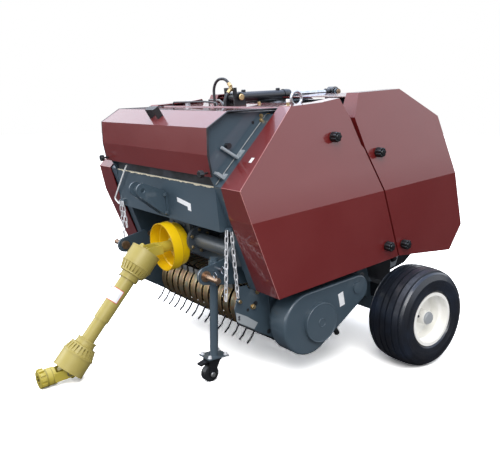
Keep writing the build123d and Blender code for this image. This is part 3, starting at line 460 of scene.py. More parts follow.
GOLD_ZINC = BandSteel(
    "yellow_zinc", "zinc_yellow", (0.7, 0.55, 0.3), 0.26, 0.0, 0.05, 0.00005,
    tints=((0.3, (0.30, 0.22, 0.10)), (0.42, (0.62, 0.47, 0.24)), (0.5, (0.66, 0.36, 0.26)),
           (0.58, (0.55, 0.52, 0.34)), (0.7, (0.42, 0.46, 0.38))),
)
BRASS = PlatedSteel("bolt_yellow", "zinc_yellow", (0.62, 0.46, 0.24), 0.36, 0.0, 0.05, 0.00004, cloud=90.0)
ROLLER = PlatedSteel("roller_steel", "roller_steel", (0.26, 0.265, 0.275), 0.4, 0.0, 0.05, 0.0001)
CHROME = PlatedSteel("chrome_rod", "chrome", (0.8, 0.8, 0.82), 0.08, 0.0, 0.05, 0.00001)
TYRE = Rubber("tyre_rubber", "tyre_rubber", (0.008, 0.010, 0.015), 0.34, 0.35, 0.12, 0.0008, dust_share=0.05,
              bloom=(0.012, 0.018, 0.032))
SOFT_RUBBER = Rubber("soft_rubber", "rubber", (0.006, 0.006, 0.007), 0.5, 0.0, 0.1, 0.0002, dust_share=0.03)
LABEL_WHITE = Paper("label_white", "guard_khaki", (0.82, 0.84, 0.86), 0.35)
LABEL_RED = Paper("label_red", "guard_khaki", (0.62, 0.03, 0.025), 0.35)
WORN_CREAM = Paper("worn_cream", "blue_grey", (0.62, 0.56, 0.42), 0.6)
BRONZE = PlatedSteel("pin_bronze", "zinc_yellow", (0.50, 0.34, 0.23), 0.34, 0.0, 0.05, 0.00004, cloud=60.0)
CHAIN_ZINC = PlatedSteel("chain_zinc", "zinc", (0.80, 0.81, 0.84), 0.35, 0.3, 0.1, 0.00004, metal=0.25)
MAROON_SHADE = GlossPaint("maroon_shade", "maroon", (0.045, 0.003, 0.003), 0.5, 0.2, 0.1, 0.0002)
# A lighter maroon for the covers' folds: painted highlight.
HIGHLIGHT_EDGE = GlossPaint("edge_highlight", "maroon", (0.42, 0.17, 0.16), 0.4, 0.6, 0.1, 0.0002)
WORN_GREY = GlossPaint("worn_grey", "blue_grey", (0.30, 0.34, 0.37), 0.5, 0.0, 0.2, 0.0004, dust_share=0.5)
CAP_GREY = GlossPaint("cap_grey", "rim_cream", (0.33, 0.35, 0.37), 0.4, 0.2, 0.1, 0.0002)
ROD_WHITE = GlossPaint("rod_white", "rod_white", (0.78, 0.79, 0.80), 0.35, 0.3, 0.1, 0.0002)
PALE_STEEL = PlatedSteel("pale_steel", "zinc", (0.42, 0.42, 0.41), 0.45, 0.0, 0.05, 0.00005)
TINE_STEEL = PlatedSteel("tine_steel", "tine_steel", (0.05, 0.05, 0.055), 0.4, 0.0, 0.05, 0.00005)
CONE_SHADE = MouldedPlastic("cone_shade", "guard_yellow", (0.62, 0.36, 0.004), 0.4, 0.0, 0.1, 0.0002,
                            scuff=(0.8, 0.5, 0.1), scuff_share=0.05)
OLIVE_SHADE = GlossPaint("olive_shade", "yoke_olive", (0.12, 0.09, 0.012), 0.5, 0.0, 0.2, 0.0004)
GUARD_SHADE = MouldedPlastic("guard_shade", "guard_khaki", (0.10, 0.08, 0.03), 0.6, 0.0, 0.1, 0.0002,
                             scuff=(0.2, 0.17, 0.08))


class Bench:
    """A mesh being made, in metres of the level machine unless told otherwise."""

    def __init__(self) -> None:
        """Start an empty mesh."""
        self.mesh = bmesh.new()

    def block(self, low: Point, high: Point, turn: Matrix | None = None) -> None:
        """Add a square block between two corners.

        Args:
            low: The lowest corner.
            high: The highest corner.
            turn: A move to make on the block once it is there.
        """
        centre = (Vector(low) + Vector(high)) / 2
        size = [abs(b - a) for a, b in zip(low, high)]
        shape = Matrix.Translation(centre) @ Matrix.Diagonal((*size, 1.0))
        bmesh.ops.create_cube(self.mesh, size=1.0, matrix=(turn or Matrix.Identity(4)) @ shape)

    def prism(self, outline: Sequence[Point], x_from: float, x_to: float) -> None:
        """Add a plate with a (y, z) outline between two values of x."""
        ends = [[self.mesh.verts.new((x, y, z)) for y, z in outline] for x in (x_from, x_to)]
        for end in ends:
            self.mesh.faces.new(end)
        self.join(ends, closed=True)

    def join(self, rings: Sequence[Sequence[bmesh.types.BMVert]], closed: bool = True) -> None:
        """Skin neighbouring rings of equal length with faces."""
        for first, second in zip(rings, rings[1:]):
            count = len(first)
            for i in range(count if closed else count - 1):
                j = (i + 1) % count
                self.mesh.faces.new((first[i], first[j], second[j], second[i]))

    def prism_xz(self, outline: Sequence[Point], y_from: float, y_to: float) -> None:
        """Add a plate with an (x, z) outline between two values of y."""
        ends = [[self.mesh.verts.new((x, y, z)) for x, z in outline] for y in (y_from, y_to)]
        for end in ends:
            self.mesh.faces.new(end)
        self.join(ends)

    def fin(self, origin: Point, way: Vector, out: Vector, sections: Sequence[Point]) -> None:
        """Add a rib that stands out from an axis.

        Args:
            origin: Where distances along the axis start.
            way: The axis.
            out: The way the rib stands.
            sections: Its ends, each (distance, inner radius, outer radius, half width).
        """
        flank = way.cross(out)
        rings = []
        for distance, low, high, half in sections:
            middle = Vector(origin) + way * distance
            rings.append([
                self.mesh.verts.new(middle + out * radius + flank * side)
                for radius, side in ((low, -half), (high, -half), (high, half), (low, half))
            ])
        self.mesh.faces.new(rings[0])
        self.mesh.faces.new(rings[-1])
        self.join(rings)

    def link(self, start: Point, end: Point, half_width: float, wire: float, turned: bool) -> None:
        """Add one chain link between two points.

        Args:
            start: Where it begins.
            end: Where it ends.
            half_width: Half its width, to the middle of the wire.
            wire: The wire's radius.
            turned: True to lie square to its neighbours.
        """
        first, second = Vector(start), Vector(end)
        along = (second - first).normalized()
        across = Vector((1.0, 0.0, 0.0))
        across = (across - along * across.dot(along)).normalized()
        across = along.cross(across) if turned else across
        reach = (second - first).length / 2 + wire
        middle = (first + second) / 2
        loop = []
        for i in range(16):
            t = 2 * math.pi * i / 16
            stretch = along * (math.cos(t) * half_width + math.copysign(reach - half_width, math.cos(t)))
            loop.append(middle + stretch + across * half_width * math.sin(t))
        self.pipe(loop, wire, 6, closed=True)

    def lathe(self, profile: Sequence[Point], origin: Point, axis: Point, sides: int = 48,
              closed: bool = False, phase: float = 0.0) -> None:
        """Turn a profile about an axis.

        Args:
            profile: Points of (radius, distance along the axis).
            origin: Where the distance is zero.
            axis: The direction of the axis.
            sides: How many flats make the circle.
            closed: True where the last profile point joins the first.
            phase: The angle of the first corner.
        """
        along = Vector(axis).normalized()
        across = along.orthogonal().normalized()
        other = along.cross(across)
        rings = []
        for radius, distance in profile:
            middle = Vector(origin) + along * distance
            if radius < 1e-7:
                rings.append([self.mesh.verts.new(middle)])
                continue
            turns = [phase + 2 * math.pi * i / sides for i in range(sides)]
            rings.append(
                [self.mesh.verts.new(middle + across * radius * math.cos(t) + other * radius * math.sin(t))
                 for t in turns]
            )
        if closed:
            rings.append(rings[0])
        for first, second in zip(rings, rings[1:]):
            self._skin(first, second, sides)

    def _skin(self, first: list[bmesh.types.BMVert], second: list[bmesh.types.BMVert], sides: int) -> None:
        """Join two rings of a lathe, either of which may be a single point."""
        for i in range(sides):
            j = (i + 1) % sides
            if len(first) == 1 and len(second) > 1:
                self.mesh.faces.new((first[0], second[i], second[j]))
            elif len(second) == 1 and len(first) > 1:
                self.mesh.faces.new((first[i], second[0], first[j]))
            elif len(first) > 1:
                self.mesh.faces.new((first[i], second[i], second[j], first[j]))

    def disc(self, seat: Point, axis: Point, radius: float, height: float, sides: int = 24) -> None:
        """Stand a flat round disc on a surface."""
        self.lathe(((0, 0), (radius, 0), (radius, height), (0, height)), seat, axis, sides)

    def rod(self, start: Point, end: Point, radius: float, sides: int = 20) -> None:
        """Add a round bar from one point to another."""
        reach = Vector(end) - Vector(start)
        self.lathe(((0, 0), (radius, 0), (radius, reach.length), (0, reach.length)), start, reach, sides)

    def pipe(self, points: Sequence[Point], radius: float, sides: int = 12, closed: bool = False) -> None:
        """Sweep a round section along a path.

        Args:
            points: The path's points.
            radius: The section's radius.
            sides: The section's flats.
            closed: True for a loop.
        """
        path = [Vector(p) for p in points]
        count = len(path)
        across = None
        rings = []
        for i, here in enumerate(path):
            before = path[i - 1] if i or closed else here
            after = path[(i + 1) % count] if i < count - 1 or closed else here
            along = (after - before).normalized()
            across = along.orthogonal() if across is None else across - along * across.dot(along)
            across = across.normalized()
            other = along.cross(across)
            turns = [2 * math.pi * k / sides for k in range(sides)]
            outs = [(across * math.cos(t) + other * math.sin(t)) * radius for t in turns]
            rings.append([self.mesh.verts.new(here + out) for out in outs])
        if closed:
            self.join([*rings, rings[0]], closed=True)
            return
        self.join(rings, closed=True)
        self.mesh.faces.new(rings[0][::-1])
        self.mesh.faces.new(rings[-1])

    def bolt(self, seat: Point, axis: Point, across: float = 0.013, height: float = 0.006,
             washer: float = 0.0) -> None:
        """Add a hexagon head on a surface.

        Args:
            seat: The middle of the face it sits on.
            axis: The way it points.
            across: The size over its corners.
            height: How tall the head is.
            washer: The radius of a washer under it, if any.
        """
        base = 0.0
        if washer:
            base = 0.0018
            self.lathe(((0, -0.0005), (washer, -0.0005), (washer, base), (0, base)), seat, axis, 24)
        half = across / 2
        crown = ((0, base - 0.0005), (half, base - 0.0005), (half, base + height * 0.85),
                 (half * 0.86, base + height), (0, base + height))
        self.lathe(crown, seat, axis, 6)

    def piece(self, name: str, body: Body, finish: Finish, level: bool = True, smooth: float = 35.0,
              bevel: float = 0.0, slot: str | None = None) -> bpy.types.Object:
        """Finish the mesh as a named piece that rides on a body.

        Args:
            name: The piece's name.
            body: The body that it moves with.
            finish: Its finish.
            level: True where it was drawn on the level machine, so that it is parked now.
            smooth: Edges flatter than this many degrees are shaded smooth.
            bevel: The width of a small bevel on the sharp edges.
            slot: The record's slot, where it isn't the finish's own. Not used.

        Returns:
            The piece's object.
        """
        bmesh.ops.recalc_face_normals(self.mesh, faces=self.mesh.faces)
        if level:
            self.mesh.transform(STANCE.matrix())
        data = bpy.data.meshes.new(name)
        self.mesh.to_mesh(data)
        self.mesh.free()
        made = bpy.data.objects.new(name, data)
        bpy.context.scene.collection.objects.link(made)
        data.materials.append(finish.material())
        shade_by_angle(data, smooth)
        if bevel:
            soften(made, bevel)
        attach(made, body.value)
        log.info("made %s with %d faces", name, len(data.polygons))
        return made


def shade_by_angle(data: bpy.types.Mesh, degrees: float) -> None:
    """Shade a mesh smooth, except over edges sharper than an angle.

    Args:
        data: The mesh.
        degrees: The sharpest angle that is still smooth.
    """
    shape = bmesh.new()
    shape.from_mesh(data)
    limit = math.radians(degrees)
    for face in shape.faces:
        face.smooth = True
    for edge in shape.edges:
        edge.smooth = len(edge.link_faces) == 2 and edge.calc_face_angle(0.0) < limit
    shape.to_mesh(data)
    shape.free()


def soften(made: bpy.types.Object, width: float, segments: int = 2) -> None:
    """Bevel a piece's sharp edges and apply the bevel.

    Args:
        made: The piece.
        width: The bevel's width.
        segments: How many faces round it.
    """
    modifier = made.modifiers.new("edge", "BEVEL")
    modifier.width = width
    modifier.segments = segments
    modifier.limit_method = "ANGLE"
    modifier.angle_limit = math.radians(40)
    modifier.harden_normals = True
    settled = bpy.data.meshes.new_from_object(made.evaluated_get(bpy.context.evaluated_depsgraph_get()))
    made.modifiers.clear()
    made.data = settled


# Pieces that dress the machine


SIDES = (-1, 1)
LEFT = (1, 0, 0)
BACK = (0, 1, 0)
FRONT = (0, -1, 0)
UP = (0, 0, 1)
NEAR_JOINT = STANCE.at(0.0, -0.880, 0.565)
FAR_JOINT = Vector((0.0, -0.7447, 0.046))


def arc(centre: Point, radius: float, start: float, stop: float, steps: int) -> list[Point]:
    """The (y, z) points along a circle between two angles in degrees."""
    turns = [math.radians(start + (stop - start) * i / steps) for i in range(steps + 1)]
    return [(centre[0] + radius * math.cos(t), centre[1] + radius * math.sin(t)) for t in turns]


def turns_of(count: int, first: float = 0.0) -> list[float]:
    """Equal turns round a circle, in radians, starting from a first one in degrees."""
    return [math.radians(first + 360 * i / count) for i in range(count)]


@dataclass
class ShaftGuards:
    """The ribs, rims, label and chain of the drive shaft's two plastic guards."""

    ribs: int = 24
    cup: float = 0.0625
    shoulder: float = 0.0520
    neck: float = 0.0405
    label_faces: Point = (0.82, -0.52, 0.23)
    label_right: Point = (0.596, 0.803, 0.0)
    label_steps: int = 24
    chain_side: Point = (-0.80, -0.60, 0.0)
    chain_path: tuple[Point, ...] = (
        (0.121, 0.040), (0.134, 0.047), (0.148, 0.054), (0.163, 0.054), (0.177, 0.047), (0.191, 0.044),
        (0.205, 0.038), (0.215, 0.0325),
    )

    def build(self) -> None:
        """Dress both halves."""
        way = (FAR_JOINT - NEAR_JOINT).normalized()
        self._half("upper", Body.UPPER_SHAFT, NEAR_JOINT, way)
        self._half("lower", Body.LOWER_SHAFT, FAR_JOINT, -way)
        self._label(way)
        self._chain(way)

    def _half(self, name: str, body: Body, origin: Vector, way: Vector) -> None:
        """Add one half's rims, ribs and the shade between the ribs.

        Args:
            name: The half's name.
            body: The body it moves with.
            origin: The middle of its joint.
            way: The shaft's direction away from that joint.
        """
        bench = Bench()
        cup, shoulder, neck = self.cup, self.shoulder, self.neck
        for sides, profile in (
            (64, ((cup - 0.0005, 0.0), (cup + 0.0012, 0.0), (cup + 0.0012, 0.004), (cup - 0.0005, 0.005))),
            (64, ((cup - 0.001, 0.066), (cup + 0.002, 0.067), (cup + 0.002, 0.073), (cup - 0.003, 0.076))),
            (64, ((0.0395, 0.104), (shoulder, 0.104), (shoulder, 0.110), (0.0400, 0.1125))),
            (48, ((0.0375, 0.129), (neck, 0.130), (neck, 0.1350), (0.0375, 0.136))),
        ):
            bench.lathe(profile, origin, way, sides, closed=True)
        across = way.orthogonal().normalized()
        other = way.cross(across)
        for turn in turns_of(self.ribs):
            out = across * math.cos(turn) + other * math.sin(turn)
            bench.fin(origin, way, out, ((0.072, 0.058, cup, 0.0052), (0.107, 0.040, shoulder, 0.0042)))
        bench.piece(f"{name}_guard_ribs", body, GUARD_KHAKI, level=False)
        shade = Bench()
        cone = ((0.0600, 0.0740), (0.0600, 0.0742), (neck, 0.1065), (0.0400, 0.1060))
        shade.lathe(cone, origin, way, 64, closed=True)
        shade.piece(f"{name}_guard_slots", body, GUARD_SHADE, level=False)

    def _label(self, way: Vector) -> None:
        """Wrap a blank label with a red edge round the upper tube."""
        seen = Vector(self.label_faces)
        middle = (seen - way * seen.dot(way)).normalized()
        other = way.cross(middle)
        if other.dot(Vector(self.label_right)) < 0:
            other = -other
        for name, finish, radius, start, stop, left, right in (
            ("red", LABEL_RED, 0.0313, 0.186, 0.242, -115.0, 38.0),
            ("white", LABEL_WHITE, 0.0316, 0.1885, 0.2395, -110.0, 33.0),
        ):
            bench = Bench()
            steps = self.label_steps
            turns = [math.radians(left + (right - left) * i / steps) for i in range(steps + 1)]
            outs = [(middle * math.cos(t) + other * math.sin(t)) * radius for t in turns]
            rows = [
                [bench.mesh.verts.new(NEAR_JOINT + way * distance + out) for out in outs]
                for distance in (start, stop)
            ]
            bench.join(rows, closed=False)
            bench.piece(f"shaft_label_{name}", Body.UPPER_SHAFT, finish, level=False)

    def _chain(self, way: Vector) -> None:
        """Hang a thin chain from the collar, lying along the tube."""
        bench = Bench()
        right = Vector(self.chain_side).normalized()
        outward = (right - way * right.dot(way)).normalized()
        spots = [NEAR_JOINT + way * along + outward * out for along, out in self.chain_path]
        for number, (first, second) in enumerate(zip(spots, spots[1:])):
            bench.link(first, second, 0.0042, 0.0011, bool(number % 2))
        bench.piece("guard_chain", Body.UPPER_SHAFT, ZINC, level=False)


@dataclass
class PickupTrim:
    """Rolled edges and lips on the pickup's bands, the lips' pale colour a painted highlight, and the bolts
    and patches of its plates.
    """

    reel: Point = (-0.540, 0.305)
    pitch: float = 0.0517
    count: int = 14
    half: float = 0.018
    band_radius: float = 0.1006
    plate: float = 0.4106
    plate_out: float = 0.4110
    patch: tuple[Point, ...] = (
        (-0.745, 0.372), (-0.744, 0.338), (-0.737, 0.3285), (-0.668, 0.2810), (-0.648, 0.302),
        (-0.700, 0.344),
    )
    low_edge: tuple[Point, ...] = (
        (-0.742, 0.3285), (-0.7415, 0.3225), (-0.549, 0.1862), (-0.482, 0.1445), (-0.376, 0.1600),
        (-0.377, 0.1665), (-0.4795, 0.1515), (-0.5465, 0.1935),
    )

    def build(self) -> None:
        """Add the trim to bands and plates."""
        edges = Bench()
        lips = Bench()
        line = arc(self.reel, self.band_radius, 98.0, 262.0, 22)
        for column in range(self.count):
            x = (column - (self.count - 1) / 2) * self.pitch
            for side in SIDES:
                edges.pipe([(x + side * (self.half - 0.0012), y, z) for y, z in line], 0.0014, 6)
            # A lip on each band's top end: a real bent flange whose pale colour is a painted highlight along
            # that edge.
            lips.block((x - self.half, -0.6095, 0.3760), (x + self.half, -0.6050, 0.4010))
        edges.piece("band_edges", Body.CHASSIS, BRASS)
        lips.piece("band_lip_highlights", Body.CHASSIS, PALE_STEEL)
        self._plates()

    def _plates(self) -> None:
        """Add the near plate's patch, dark discs of painted shade for its holes, its bolts and its dark
        lower edge, and the reel's end caps.
        """
        patch = Bench()
        patch.prism(self.patch, 0.4105, 0.4118)
        patch.piece("plate_patch", Body.CHASSIS, WORN_GREY)
        dark = Bench()
        # Dark discs in place of the plate's holes: painted shade. The strip along the lower edge is dark
        # too.
        for y, z in ((-0.733, 0.341), (-0.7325, 0.350)):
            dark.disc((self.plate_out, y, z), LEFT, 0.0048, 0.0014, 16)
        for radius, y, z in ((0.0095, -0.598, 0.250), (0.0100, -0.652, 0.382), (0.0060, -0.690, 0.366)):
            dark.disc((self.plate, y, z), LEFT, radius, 0.0012)
        dark.prism(self.low_edge, 0.4050, 0.4125)
        dark.piece("plate_hole_shade_and_dark_edge", Body.CHASSIS, SOFT_RUBBER, slot="rubber")
        bolts = Bench()
        bolts.bolt((0.411, -0.666, 0.373), LEFT, 0.017, 0.009, 0.011)
        head = ((0, 0), (0.0075, 0), (0.0065, 0.004), (0, 0.0045))
        bolts.lathe(head, (0.431, -0.735, 0.417), LEFT, 24)
        for side in SIDES:
            for y, z in ((-0.640, 0.425), (-0.480, 0.415), (-0.420, 0.395)):
                bolts.bolt((side * 0.411, y, z), (side, 0, 0), 0.014, 0.006, 0.009)
        bolts.piece("plate_bolts", Body.CHASSIS, BRASS)
        fold = Bench()
        fold.block((0.406, -0.5905, 0.225), (0.414, -0.5865, 0.430))
        fold.piece("plate_fold", Body.CHASSIS, SLATE, bevel=0.001)
        lid = Bench()
        for side in SIDES:
            lid.lathe(((0, 0), (0.022, 0), (0.022, 0.004), (0.014, 0.007), (0, 0.007)),
                      (side * 0.420, *self.reel), (side, 0, 0), 32)
        lid.piece("reel_end_caps", Body.REEL, SLATE)


@dataclass
class HitchTrim:
    """The hitch's washers, pins, bolts and edges, and what dresses the cross plate and the cone."""

    pin: Point = (-0.818, 0.518)
    shoulder: float = 0.3415
    plate_front: float = -0.7800
    strip_half: float = 0.392
    strip_top: float = 0.8566
    strip_steps: int = 90
    label: tuple[Point, ...] = (
        (0.120, 0.786), (0.219, 0.772), (0.219, 0.742), (0.196, 0.745), (0.196, 0.757), (0.120, 0.768),
    )

    def build(self) -> None:
        """Add the hitch's small parts."""
        y, z = self.pin
        gold = Bench()
        for side in SIDES:
            way = (side, 0, 0)
            gold.disc((side * self.shoulder, y, z), way, 0.021, 0.003, 48)
            gold.lathe(((0, 0), (0.0125, 0), (0.0105, 0.006), (0, 0.007)), (side * 0.4215, y, z), way, 24)
            gold.rod((side * 0.412, y, 0.536), (side * 0.412, y, 0.499), 0.0022, 10)
            gold.bolt((side * 0.3315, -0.690, 0.545), way, 0.018, 0.009, 0.012)
        gold.piece("hitch_bolts", Body.CHASSIS, BRONZE)
        heads = Bench()
        for place in ((0.040, 0.787), (0.040, 0.714), (-0.040, 0.787)):
            heads.bolt((place[0], -0.788, place[1]), FRONT, 0.014, 0.007, 0.009)
        heads.piece("backing_bolts", Body.CHASSIS, SLATE)
        ring = Bench()
        loop = [(0.412 + 0.012 * math.sin(t), y - 0.003, 0.538 + 0.011 * math.cos(t)) for t in turns_of(20)]
        ring.pipe(loop, 0.0012, 6, closed=True)
        ring.piece("cotter_ring", Body.CHASSIS, ZINC)
        pale = Bench()
        outline = arc(self.pin, 0.0334, 118.0, 250.0, 18)
        for side in SIDES:
            pale.pipe([(side * 0.3412, *point) for point in outline], 0.0011, 6)
        pale.piece("hitch_edge", Body.CHASSIS, PALE_STEEL)
        self._strip()
        self._cross_plate()

    def _strip(self) -> None:
        """Lay the ragged strip of cream paint along the cross plate's top edge."""
        dice = random.Random(4)
        strip = Bench()
        back, front = self.plate_front + 0.0002, self.plate_front - 0.0014
        top, low = self.strip_top + 0.0002, self.strip_top
        rows: list[list] = [[], [], [], []]
        for i in range(self.strip_steps + 1):
            x = self.strip_half * (2 * i / self.strip_steps - 1)
            drop = 0.0035 + 0.0055 * dice.random() * (0.4 + 0.6 * math.sin(i * 0.31) ** 2)
            section = ((back, top), (front, low), (front, low - drop), (back, low - drop))
            for row, (y, z) in zip(rows, section):
                row.append(strip.mesh.verts.new((x, y, z)))
        strip.join([*rows, rows[0]], closed=False)
        strip.piece("worn_strip", Body.CHASSIS, WORN_CREAM)

    def _cross_plate(self) -> None:
        """Add the blank label, black blocks of painted shade in the gap under the hood, and the rolled lines
        of the yellow cone in painted shade.
        """
        label = Bench()
        label.prism_xz(self.label, self.plate_front, self.plate_front - 0.0008)
        label.piece("cross_label", Body.CHASSIS, LABEL_WHITE, slot="blue_grey")
        # Black blocks in the gap under the hood: painted shade, a dark thing where there is only the gap's
        # shadow.
        gap = Bench()
        gap.block((-0.396, -0.7755, 0.8585), (0.396, -0.7715, 0.8945))
        gap.block((-0.396, -0.8015, 0.8935), (0.396, -0.7995, 0.9000))
        gap.piece("hood_gap_shade", Body.CHASSIS, SOFT_RUBBER)
        # Thin rings in a darker copy of the cone's yellow: painted shade along its rolled lines.
        line = Bench()
        for y, profile in (
            (-0.7662, ((0.1000, 0.0), (0.1006, 0.0004), (0.1006, 0.0018), (0.1000, 0.0022))),
            (-0.8085, ((0.0972, 0.0), (0.1004, 0.0), (0.1008, 0.0012), (0.0972, 0.0012))),
        ):
            line.lathe(profile, (0.0, y, 0.565), BACK, 80, closed=True)
        line.piece("cone_line_shade", Body.CHASSIS, CONE_SHADE)


@dataclass
class ChainTrim:
    """Round-wire links in place of the plain safety chains, with the hooks that carry them."""

    pitch: float = 0.024
    half_width: float = 0.0061
    wire: float = 0.0023
    peg: float = 0.0032
    strands: tuple[tuple[Point, Point], ...] = (
        ((0.420, -0.760, 0.696), (0.420, -0.790, 0.436)),
        ((0.434, -0.749, 0.696), (0.423, -0.738, 0.438)),
        ((-0.372, -0.796, 0.714), (-0.380, -0.796, 0.545)),
        ((-0.354, -0.796, 0.714), (-0.338, -0.796, 0.592)),
    )

    def build(self) -> None:
        """Add the links and hooks."""
        links = Bench()
        hooks = Bench()
        hooks.block((0.412, -0.757, 0.692), (0.442, -0.743, 0.704))
        hooks.block((-0.378, -0.793, 0.710), (-0.346, -0.780, 0.722))
        for top, bottom in self.strands:
            start = Vector(top)
            reach = Vector(bottom) - start
            step = reach.normalized() * self.pitch
            for number in range(round(reach.length / self.pitch)):
                here = start + step * number
                links.link(here, here + step, self.half_width, self.wire, bool(number % 2))
            x, y, z = top[0], top[1], top[2] + 0.0025
            hooks.rod((x - 0.006, y, z), (x + 0.006, y, z), self.peg, 12)
            hooks.rod((x, y, z), (x, y + 0.008, z), self.peg, 12)
        hooks.piece("chain_hooks", Body.CHASSIS, SLATE)
        made = links.piece("safety_chain_links", Body.CHASSIS, CHAIN_ZINC)
        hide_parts("safety_chains")


@dataclass
class FarYokeTrim:
    """The splines, rings and lobes of the yoke that a tractor's shaft would enter, with painted shade in its
    grooves and bore.
    """

    droop: float = math.radians(6.0)
    hub: float = 0.034
    bore: float = 0.0175
    lobes: int = 8
    splines: int = 6

    def build(self) -> None:
        """Dress the far yoke."""
        way = Vector((0.0, -math.cos(self.droop), -math.sin(self.droop)))
        aside = Vector(LEFT)
        up = aside.cross(way)
        up = up if up.z > 0 else -up
        bench = Bench()
        lobe = ((0.0900, 0.033, 0.0395, 0.0050), (0.0935, 0.033, 0.0405, 0.0058),
                (0.1080, 0.033, 0.0405, 0.0058), (0.1115, 0.033, 0.0385, 0.0048))
        spline = ((0.056, 0.0145, 0.0180, 0.0036), (0.1135, 0.0145, 0.0180, 0.0036))
        for number in range(self.lobes):
            turn = math.radians(-105 + 30 * number)
            out = up * math.cos(turn) + aside * math.sin(turn)
            bench.fin(FAR_JOINT, way, out, lobe)
        for turn in turns_of(self.splines, 30):
            out = up * math.cos(turn) + aside * math.sin(turn)
            bench.fin(FAR_JOINT, way, out, spline)
        bench.piece("yoke_lobes", Body.FAR_YOKE, OLIVE, level=False, bevel=0.0012)
        # Dark olive rings in the grooves and a dark lining in the bore: painted shade.
        dark = Bench()
        low, high = self.hub - 0.001, self.hub + 0.0003
        for place in (0.0640, 0.0840, 0.0870):
            groove = ((low, place), (high, place), (high, place + 0.0012), (low, place + 0.0012))
            dark.lathe(groove, FAR_JOINT, way, 64, closed=True)
        bore, lining = self.bore, self.bore - 0.0003
        sleeve = ((bore, 0.060), (lining, 0.060), (lining, 0.1136), (bore, 0.1136))
        dark.lathe(sleeve, FAR_JOINT, way, 48, closed=True)
        dark.piece("yoke_groove_shade", Body.FAR_YOKE, OLIVE_SHADE, level=False)
        clips = Bench()
        clip = ((0.0098, -0.0002), (0.0130, -0.0002), (0.0130, 0.0016), (0.0098, 0.0016))
        for side in SIDES:
            clips.lathe(clip, FAR_JOINT + aside * (side * self.hub), (side, 0, 0), 28, closed=True)
        clips.piece("yoke_caps", Body.FAR_YOKE, ZINC, level=False)


@dataclass
class CoverTrim:
    """Small parts on the covers: lobed knobs, a blank label, folds with a painted highlight, grooves with
    painted shade and dark floors of painted shade.
    """

    crease: float = 0.745
    lean: float = math.tan(math.radians(10.35))
    skin: float = 0.587
    lobes: int = 7
    knob_spread: float = 0.0135
    roof_front: Point = (-0.5085, 1.1118)
    nose: Point = (-0.7898, 0.8592)
    nose_crease: Point = (-0.7660, 0.7420)
    front_foot: Point = (-0.6722, 0.4482)
    groove: tuple[Point, ...] = ((-0.3425, 1.1075), (-0.2650, 1.0160), (-0.1880, 0.9235))

    def face(self, z: float) -> float:
        """How far out the cover's skin is at a height."""
        return self.skin - max(0.0, z - self.crease) * self.lean

    def build(self) -> None:
        """Add the trim of all four covers."""
        front = ((-0.337, 0.984), (-0.109, 0.518))
        rear = ((-0.118, 0.897), (-0.011, 0.504))
        for name, body, places in (("front", Body.CHASSIS, front), ("rear", Body.TAILGATE, rear)):
            bench = Bench()
            for side in SIDES:
                for y, z in places:
                    self._knob(bench, side, y, z)
            bench.piece(f"{name}_knob_grips", body, KNOB_BLACK)
        self._label()
        self._edges()
        self._floors()

    def _knob(self, bench: Bench, side: int, y: float, z: float) -> None:
        """Add the lobes and raised cap of one knob."""
        foot = side * (self.face(z) + 0.008)
        lobe = ((0, 0.001), (0.0062, 0.001), (0.0066, 0.004), (0.0062, 0.021), (0.0045, 0.0235), (0, 0.0235))
        for turn in turns_of(self.lobes):
            centre = (foot, y + self.knob_spread * math.cos(turn), z + self.knob_spread * math.sin(turn))
            bench.lathe(lobe, centre, (side, 0, 0), 16)
        cap = ((0.010, 0.021), (0.0100, 0.0240), (0.0085, 0.0258), (0, 0.0262))
        bench.lathe(cap, (foot, y, z), (side, 0, 0), 24)

    def _label(self) -> None:
        """Stick a small blank label on the slanted front of the left cover."""
        rise = math.atan2(0.253, 0.282)
        move = Matrix.Translation((0.512, -0.693, 0.9463)) @ Matrix.Rotation(rise, 4, "X")
        bench = Bench()
        bench.block((-0.0075, -0.0105, -0.0002), (0.0075, 0.0105, 0.0007), move)
        bench.piece("cover_label", Body.CHASSIS, LABEL_WHITE, slot="maroon")

    def _edges(self) -> None:
        """Draw a painted highlight in lighter maroon along the front covers' folds, and a line of painted
        shade in the groove at their step.
        """
        # Round pipes on the folds, in lighter maroon: painted highlight.
        bench = Bench()
        corners = (self.roof_front, self.nose, self.nose_crease, self.front_foot)
        for side in SIDES:
            for line in zip(corners, corners[1:]):
                bench.pipe([(side * (self.face(z) - 0.0006), y, z) for y, z in line], 0.0010, 6)
            for outer, (y, z) in ((0.5740, self.nose), (0.5195, (-0.5082, 1.1118))):
                bench.pipe([(side * 0.4535, y, z), (side * outer, y, z)], 0.0010, 6)
        bench.piece("cover_edge_highlights", Body.CHASSIS, HIGHLIGHT_EDGE)
        # A dark maroon pipe at the foot of the step: painted shade in the groove.
        groove = Bench()
        for side in SIDES:
            groove.pipe([(side * (self.face(z) - 0.0068), y, z) for y, z in self.groove], 0.0024, 8)
        groove.piece("step_groove_shade", Body.CHASSIS, MAROON_SHADE)

    def _floors(self) -> None:
        """Lay a dark sheet of painted shade inside the lower edge of each front cover."""
        bench = Bench()
        section = ((-0.668, 0.4475), (-0.045, 0.4575), (-0.045, 0.4615), (-0.668, 0.4515))
        for side in SIDES:
            bench.prism(section, side * 0.456, side * 0.580)
        bench.piece("cover_floor_shade", Body.CHASSIS, SOFT_RUBBER)


